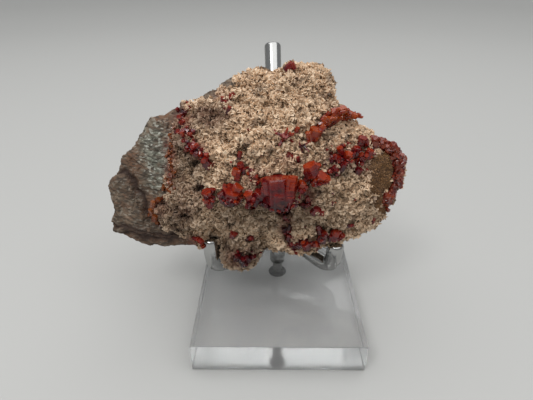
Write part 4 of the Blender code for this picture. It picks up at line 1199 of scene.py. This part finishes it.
class SPECIMEN_OT_stand(Operator):
    """Finishes the acrylic block and the steel rods"""

    bl_idname = "specimen.stand"
    bl_label = "Stand"

    def execute(self, context):
        settings = context.scene.specimen_stand
        NODES["base_block"].material_slots[0].material = acrylic_material()
        steel = steel_material(settings, "polished_steel")
        for name in ROD_NODES:
            self.make_rod(name, steel)
        self.make_joints(settings, steel)
        self.make_screw(steel_material(settings, "screw_steel"))
        return {"FINISHED"}

    def make_rod(self, name, steel):
        """The CAD rod with its sides shaded round and its ends left crisp."""
        shape = bmesh.new()
        shape.from_mesh(NODES[name].data)
        bmesh.ops.remove_doubles(shape, verts=shape.verts, dist=WELD)
        mesh = mesh_of(shape, name + "_round")
        mesh.shade_smooth()
        mesh.set_sharp_from_angle(angle=ROD_EDGE)
        seat(new_piece(name + "_round", mesh, steel), (name,))

    def make_screw(self, steel):
        """The countersunk screw, filling its hole from the block's foot up into the post."""
        low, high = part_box("base_screw")
        centre = Vector((low[0] + high[0], low[1] + high[1], 0.0)) / 2
        shape = turned(SCREW_PROFILE, 48)
        bmesh.ops.translate(shape, verts=shape.verts, vec=centre)
        mesh = mesh_of(shape, "countersunk_screw")
        mesh.set_sharp_from_angle(angle=SCREW_EDGE)
        seat(new_piece("countersunk_screw", mesh, steel), ("base_screw",))

    def make_joints(self, settings, steel):
        """A bead of brazing round each prong's root, blended into the post."""
        shape = bmesh.new()
        for side in (-1, 1):
            root = Vector((side * JOINT_PLACE[0], *JOINT_PLACE[1:]))
            bead = bmesh.ops.create_icosphere(shape, subdivisions=3, radius=settings.bead_radius)["verts"]
            for vertex in bead:
                vertex.co.x *= 0.8
                vertex.co += vertex.co.normalized() * noise.noise((vertex.co + root) * BEAD_SCALE) * BEAD_LUMP
            bmesh.ops.translate(shape, verts=bead, vec=root)
        bmesh.ops.recalc_face_normals(shape, faces=shape.faces)
        mesh = mesh_of(shape, "prong_joints")
        mesh.shade_smooth()
        seat(new_piece("prong_joints", mesh, steel))


class SPECIMEN_OT_rock(Operator):
    """Makes the fine surface of the matrix"""

    bl_idname = "specimen.rock"
    bl_label = "Rock"

    def execute(self, context):
        settings = context.scene.specimen_rock
        rock = new_piece("matrix_rock", fine_rock(settings), rock_material(settings))
        seat(rock, ("matrix",))
        return {"FINISHED"}


class SPECIMEN_OT_druse(Operator):
    """Grows the crust of small blades over the rock"""

    bl_idname = "specimen.druse"
    bl_label = "Druse crust"

    def execute(self, context):
        settings = context.scene.specimen_druse
        surface = Surface(bpy.data.objects["matrix_rock"].data)
        masks = {name: values_of(surface.mesh, name) for name in ("crust", "velvet", "pits")}
        bare = np.maximum(masks["velvet"] > PATCH_LEVEL, masks["pits"] > PIT_LEVEL)
        mask = np.where((masks["crust"] > CRUST_LEVEL) & ~bare, 1.0, 0.0)
        rng = np.random.default_rng(PLACE_SEED)
        spots, normals = surface.scatter(mask, DRUSE_TRIES, settings.rosette_spacing, rng)
        crystals = [place for places in all_crystal_places().values() for place in places]
        clear = clear_of_crystals(spots, crystals)
        spots, normals = spots[clear], normals[clear]
        across = display_places(spots)[:, 0]
        material = druse_material(settings)
        names = ("druse_left", "druse_middle", "druse_right", "druse_far_right")
        bounds = np.quantile(across, np.linspace(0, 1, len(names) + 1))
        for index, name in enumerate(names):
            inside = (across >= bounds[index]) & (across <= bounds[index + 1])
            chance = random.Random(PLACE_SEED + index)
            pile = self.rosettes(settings, spots[inside], normals[inside], chance)
            piece = pile.piece(name, material)
            places = display_places(points_of(piece.data))
            write_attribute(piece.data, "stain", 0.8 * patch_mask(places, RED_STAIN))
            # Painted shade in the pits and hollows, under the crystal row and low on the face, with the brown
            # of some blades at the left
            dim = np.maximum(patch_mask(places, BROWN_AND_SHADE_PATCH), 0.95 * patch_mask(places, PITS))
            write_attribute(piece.data, "dim", dim)
            seat(piece)
        return {"FINISHED"}

    def rosettes(self, settings, spots, normals, rng):
        """Blades stood on edge round each spot, leaning outwards."""
        forms = blade_forms(rng)
        pile = Pile()
        for spot, normal in zip(spots, normals):
            normal = Vector(normal)
            side = normal.orthogonal().normalized()
            first = rng.uniform(0, math.tau)
            size = rng.choice((0.75, 0.95, 1.0, 1.2))
            # The tone follows the crust's lumps, as painted shade in its crevices and hollows and painted
            # light on its bulges, with random tone on top
            shade = 0.6 + 0.55 * lump(Vector(spot) / MM) + rng.uniform(-0.2, 0.2)
            spot, blades = Vector(spot), rng.choice((3, 4, 5))
            for index in range(blades):
                angle = first + math.tau * index / blades + rng.uniform(-0.4, 0.4)
                out = Matrix.Rotation(angle, 3, normal) @ side
                up = (normal + out * rng.uniform(0.0, 0.9)).normalized()
                length = settings.blade_length * size * rng.uniform(0.75, 1.25)
                centre = spot + out * length * rng.uniform(0.05, 0.32)
                centre += normal * length * rng.uniform(0.05, 0.28)
                thick = settings.blade_thickness * rng.uniform(0.7, 1.4)
                flat = up.cross(out).normalized() if rng.random() < 0.2 else out
                place = placed(centre, up, flat, rng.uniform(-0.4, 0.4), (length, thick, length * 0.9))
                pile.add(rng.choice(forms), place, min(1.0, max(0.0, shade + rng.uniform(-0.22, 0.22))))
        return pile


class SPECIMEN_OT_velvet(Operator):
    """Covers the golden-brown patch with fine grains"""

    bl_idname = "specimen.velvet"
    bl_label = "Golden patch"

    def execute(self, context):
        surface = Surface(bpy.data.objects["matrix_rock"].data)
        mask = values_of(surface.mesh, "velvet")
        rng = np.random.default_rng(PLACE_SEED)
        mask = np.where(mask > GRAIN_LEVEL, mask, 0.0)
        spots, normals = surface.scatter(mask, PATCH_TRIES, PATCH_SPACING, rng)
        choose = random.Random(PLACE_SEED)
        forms = blade_forms(choose)
        pile = Pile()
        for spot, normal in zip(spots, normals):
            axis = Vector(normal) + chance_vector(choose, 0.6)
            size = choose.uniform(0.00026, 0.00046)
            place = placed(spot, axis, (1, 0, 0), choose.uniform(0, 3), (size, size * 0.6, size * 1.3))
            pile.add(choose.choice(forms), place, choose.random())
        seat(pile.piece("golden_patch", velvet_material()))
        return {"FINISHED"}


class SPECIMEN_OT_crystals(Operator):
    """Makes the red crystals of each cluster"""

    bl_idname = "specimen.crystals"
    bl_label = "Crystal clusters"

    def execute(self, context):
        settings = context.scene.specimen_crystals
        finishes = {name: crystal_material(settings, name) for name in CRYSTAL_FINISHES}
        rng = random.Random(settings.seed)
        for name, places in all_crystal_places().items():
            finish = finishes[PIECE_FINISHES.get(name, "red_crystal")]
            piece = crystal_pile(places, rng).piece(name + "_fine", finish)
            seat(piece, (name,) if name in CRYSTALS else ())
        return {"FINISHED"}


class SPECIMEN_OT_veins(Operator):
    """Scatters small crystals along the veins"""

    bl_idname = "specimen.veins"
    bl_label = "Crystal veins"

    def execute(self, context):
        settings = context.scene.specimen_crystals
        rng = random.Random(settings.seed + 1)
        rock = bpy.data.objects["matrix_rock"]
        tree = BVHTree.FromObject(rock, context.evaluated_depsgraph_get())
        grown = {finish: [] for finish in VEIN_PIECES}
        for line, width, count, size, tone, *finish in VEINS:
            growing = grown[finish[0] if finish else "red_crystal"]
            for u, w, *_ in along_line(line, width, count, rng):
                hit, normal = tree.ray_cast(EYE, sight(u, w))[:2]
                if hit is None:
                    continue
                axis = (normal + chance_vector(rng, 0.8)).normalized()
                radius = size * rng.uniform(0.4, 1.15) * MM
                length = radius * rng.uniform(1.5, 2.8)
                centre = hit + axis * length * 0.15 + normal * 0.32 * MM
                form, spin = rng.choice(("blunt", "blunt", "capped")), rng.uniform(0, 1)
                growing.append((centre, axis, radius, length, spin, form, tone + rng.uniform(-0.25, 0.3)))
        for finish, name in VEIN_PIECES.items():
            piece = crystal_pile(grown[finish], rng).piece(name, bpy.data.materials[finish])
            seat(piece)
        return {"FINISHED"}


class SPECIMEN_OT_rim(Operator):
    """Grows the scalloped crust of crystals along the right rim"""

    bl_idname = "specimen.rim"
    bl_label = "Rim crust"

    def execute(self, context):
        settings = context.scene.specimen_crystals
        shape = bmesh.new()
        shape.from_mesh(welded("rim_crust", "rim_welded"))
        shape.normal_update()
        for vertex in shape.verts:
            vertex.co -= vertex.normal * settings.rim_sink
        mesh = bpy.data.meshes.new("rim_base")
        shape.to_mesh(mesh)
        surface = Surface(mesh)
        rng = np.random.default_rng(settings.seed)
        spots, normals = surface.scatter(np.ones(len(mesh.vertices)), RIM_TRIES, RIM_SPACING, rng)
        choose = random.Random(settings.seed)
        pile = Pile()
        pile.add(form_of(shape), Matrix.Identity(4), 0.12)
        forms = crystal_forms()
        for spot, normal in zip(spots, normals):
            axis = (Vector(normal) + chance_vector(choose, 0.6)).normalized()
            radius = choose.uniform(0.35, 0.85) * MM
            length = radius * choose.uniform(1.3, 2.2)
            centre = Vector(spot) - axis * length * 0.3
            place = placed(centre, axis, -FORWARD, choose.uniform(0, 1), (radius, radius, length))
            pile.add(forms[choose.choice(("blunt", "capped"))], place, choose.uniform(0.0, 0.62))
        piece = pile.piece("rim_crust_fine", bpy.data.materials["rim_crystal"])
        seat(piece, ("rim_crust",))
        return {"FINISHED"}


class SPECIMEN_PT_panel(Panel):
    """Settings of the specimen"""

    bl_label = "Vanadinite on Matrix"
    bl_idname = "SPECIMEN_PT_panel"
    bl_space_type = "VIEW_3D"
    bl_region_type = "UI"
    bl_category = "Specimen"

    def draw(self, context):
        for key, kind in SETTINGS.items():
            box = self.layout.box()
            for name in kind.__annotations__:
                box.prop(getattr(context.scene, key), name)
        for operator in OPERATORS:
            self.layout.operator(operator.bl_idname)


SETTINGS = {
    "specimen_stage": StageSettings,
    "specimen_stand": StandSettings,
    "specimen_rock": RockSettings,
    "specimen_druse": DruseSettings,
    "specimen_crystals": CrystalSettings,
}
OPERATORS = (
    SPECIMEN_OT_stage, SPECIMEN_OT_stand, SPECIMEN_OT_rock, SPECIMEN_OT_druse, SPECIMEN_OT_velvet,
    SPECIMEN_OT_crystals, SPECIMEN_OT_veins, SPECIMEN_OT_rim,
)
CLASSES = tuple(SETTINGS.values()) + OPERATORS + (SPECIMEN_PT_panel,)


def register():
    for kind in CLASSES:
        bpy.utils.register_class(kind)
    for key, kind in SETTINGS.items():
        setattr(bpy.types.Scene, key, PointerProperty(type=kind))


def unregister():
    for key in SETTINGS:
        delattr(bpy.types.Scene, key)
    for kind in reversed(CLASSES):
        bpy.utils.unregister_class(kind)


def main():
    noise.seed_set(NOISE_SEED)
    register()
    bpy.ops.specimen.stage()
    bpy.ops.specimen.stand()
    bpy.ops.specimen.rock()
    bpy.ops.specimen.druse()
    bpy.ops.specimen.velvet()
    bpy.ops.specimen.crystals()
    bpy.ops.specimen.veins()
    bpy.ops.specimen.rim()


if __name__ == "__main__":
    main()
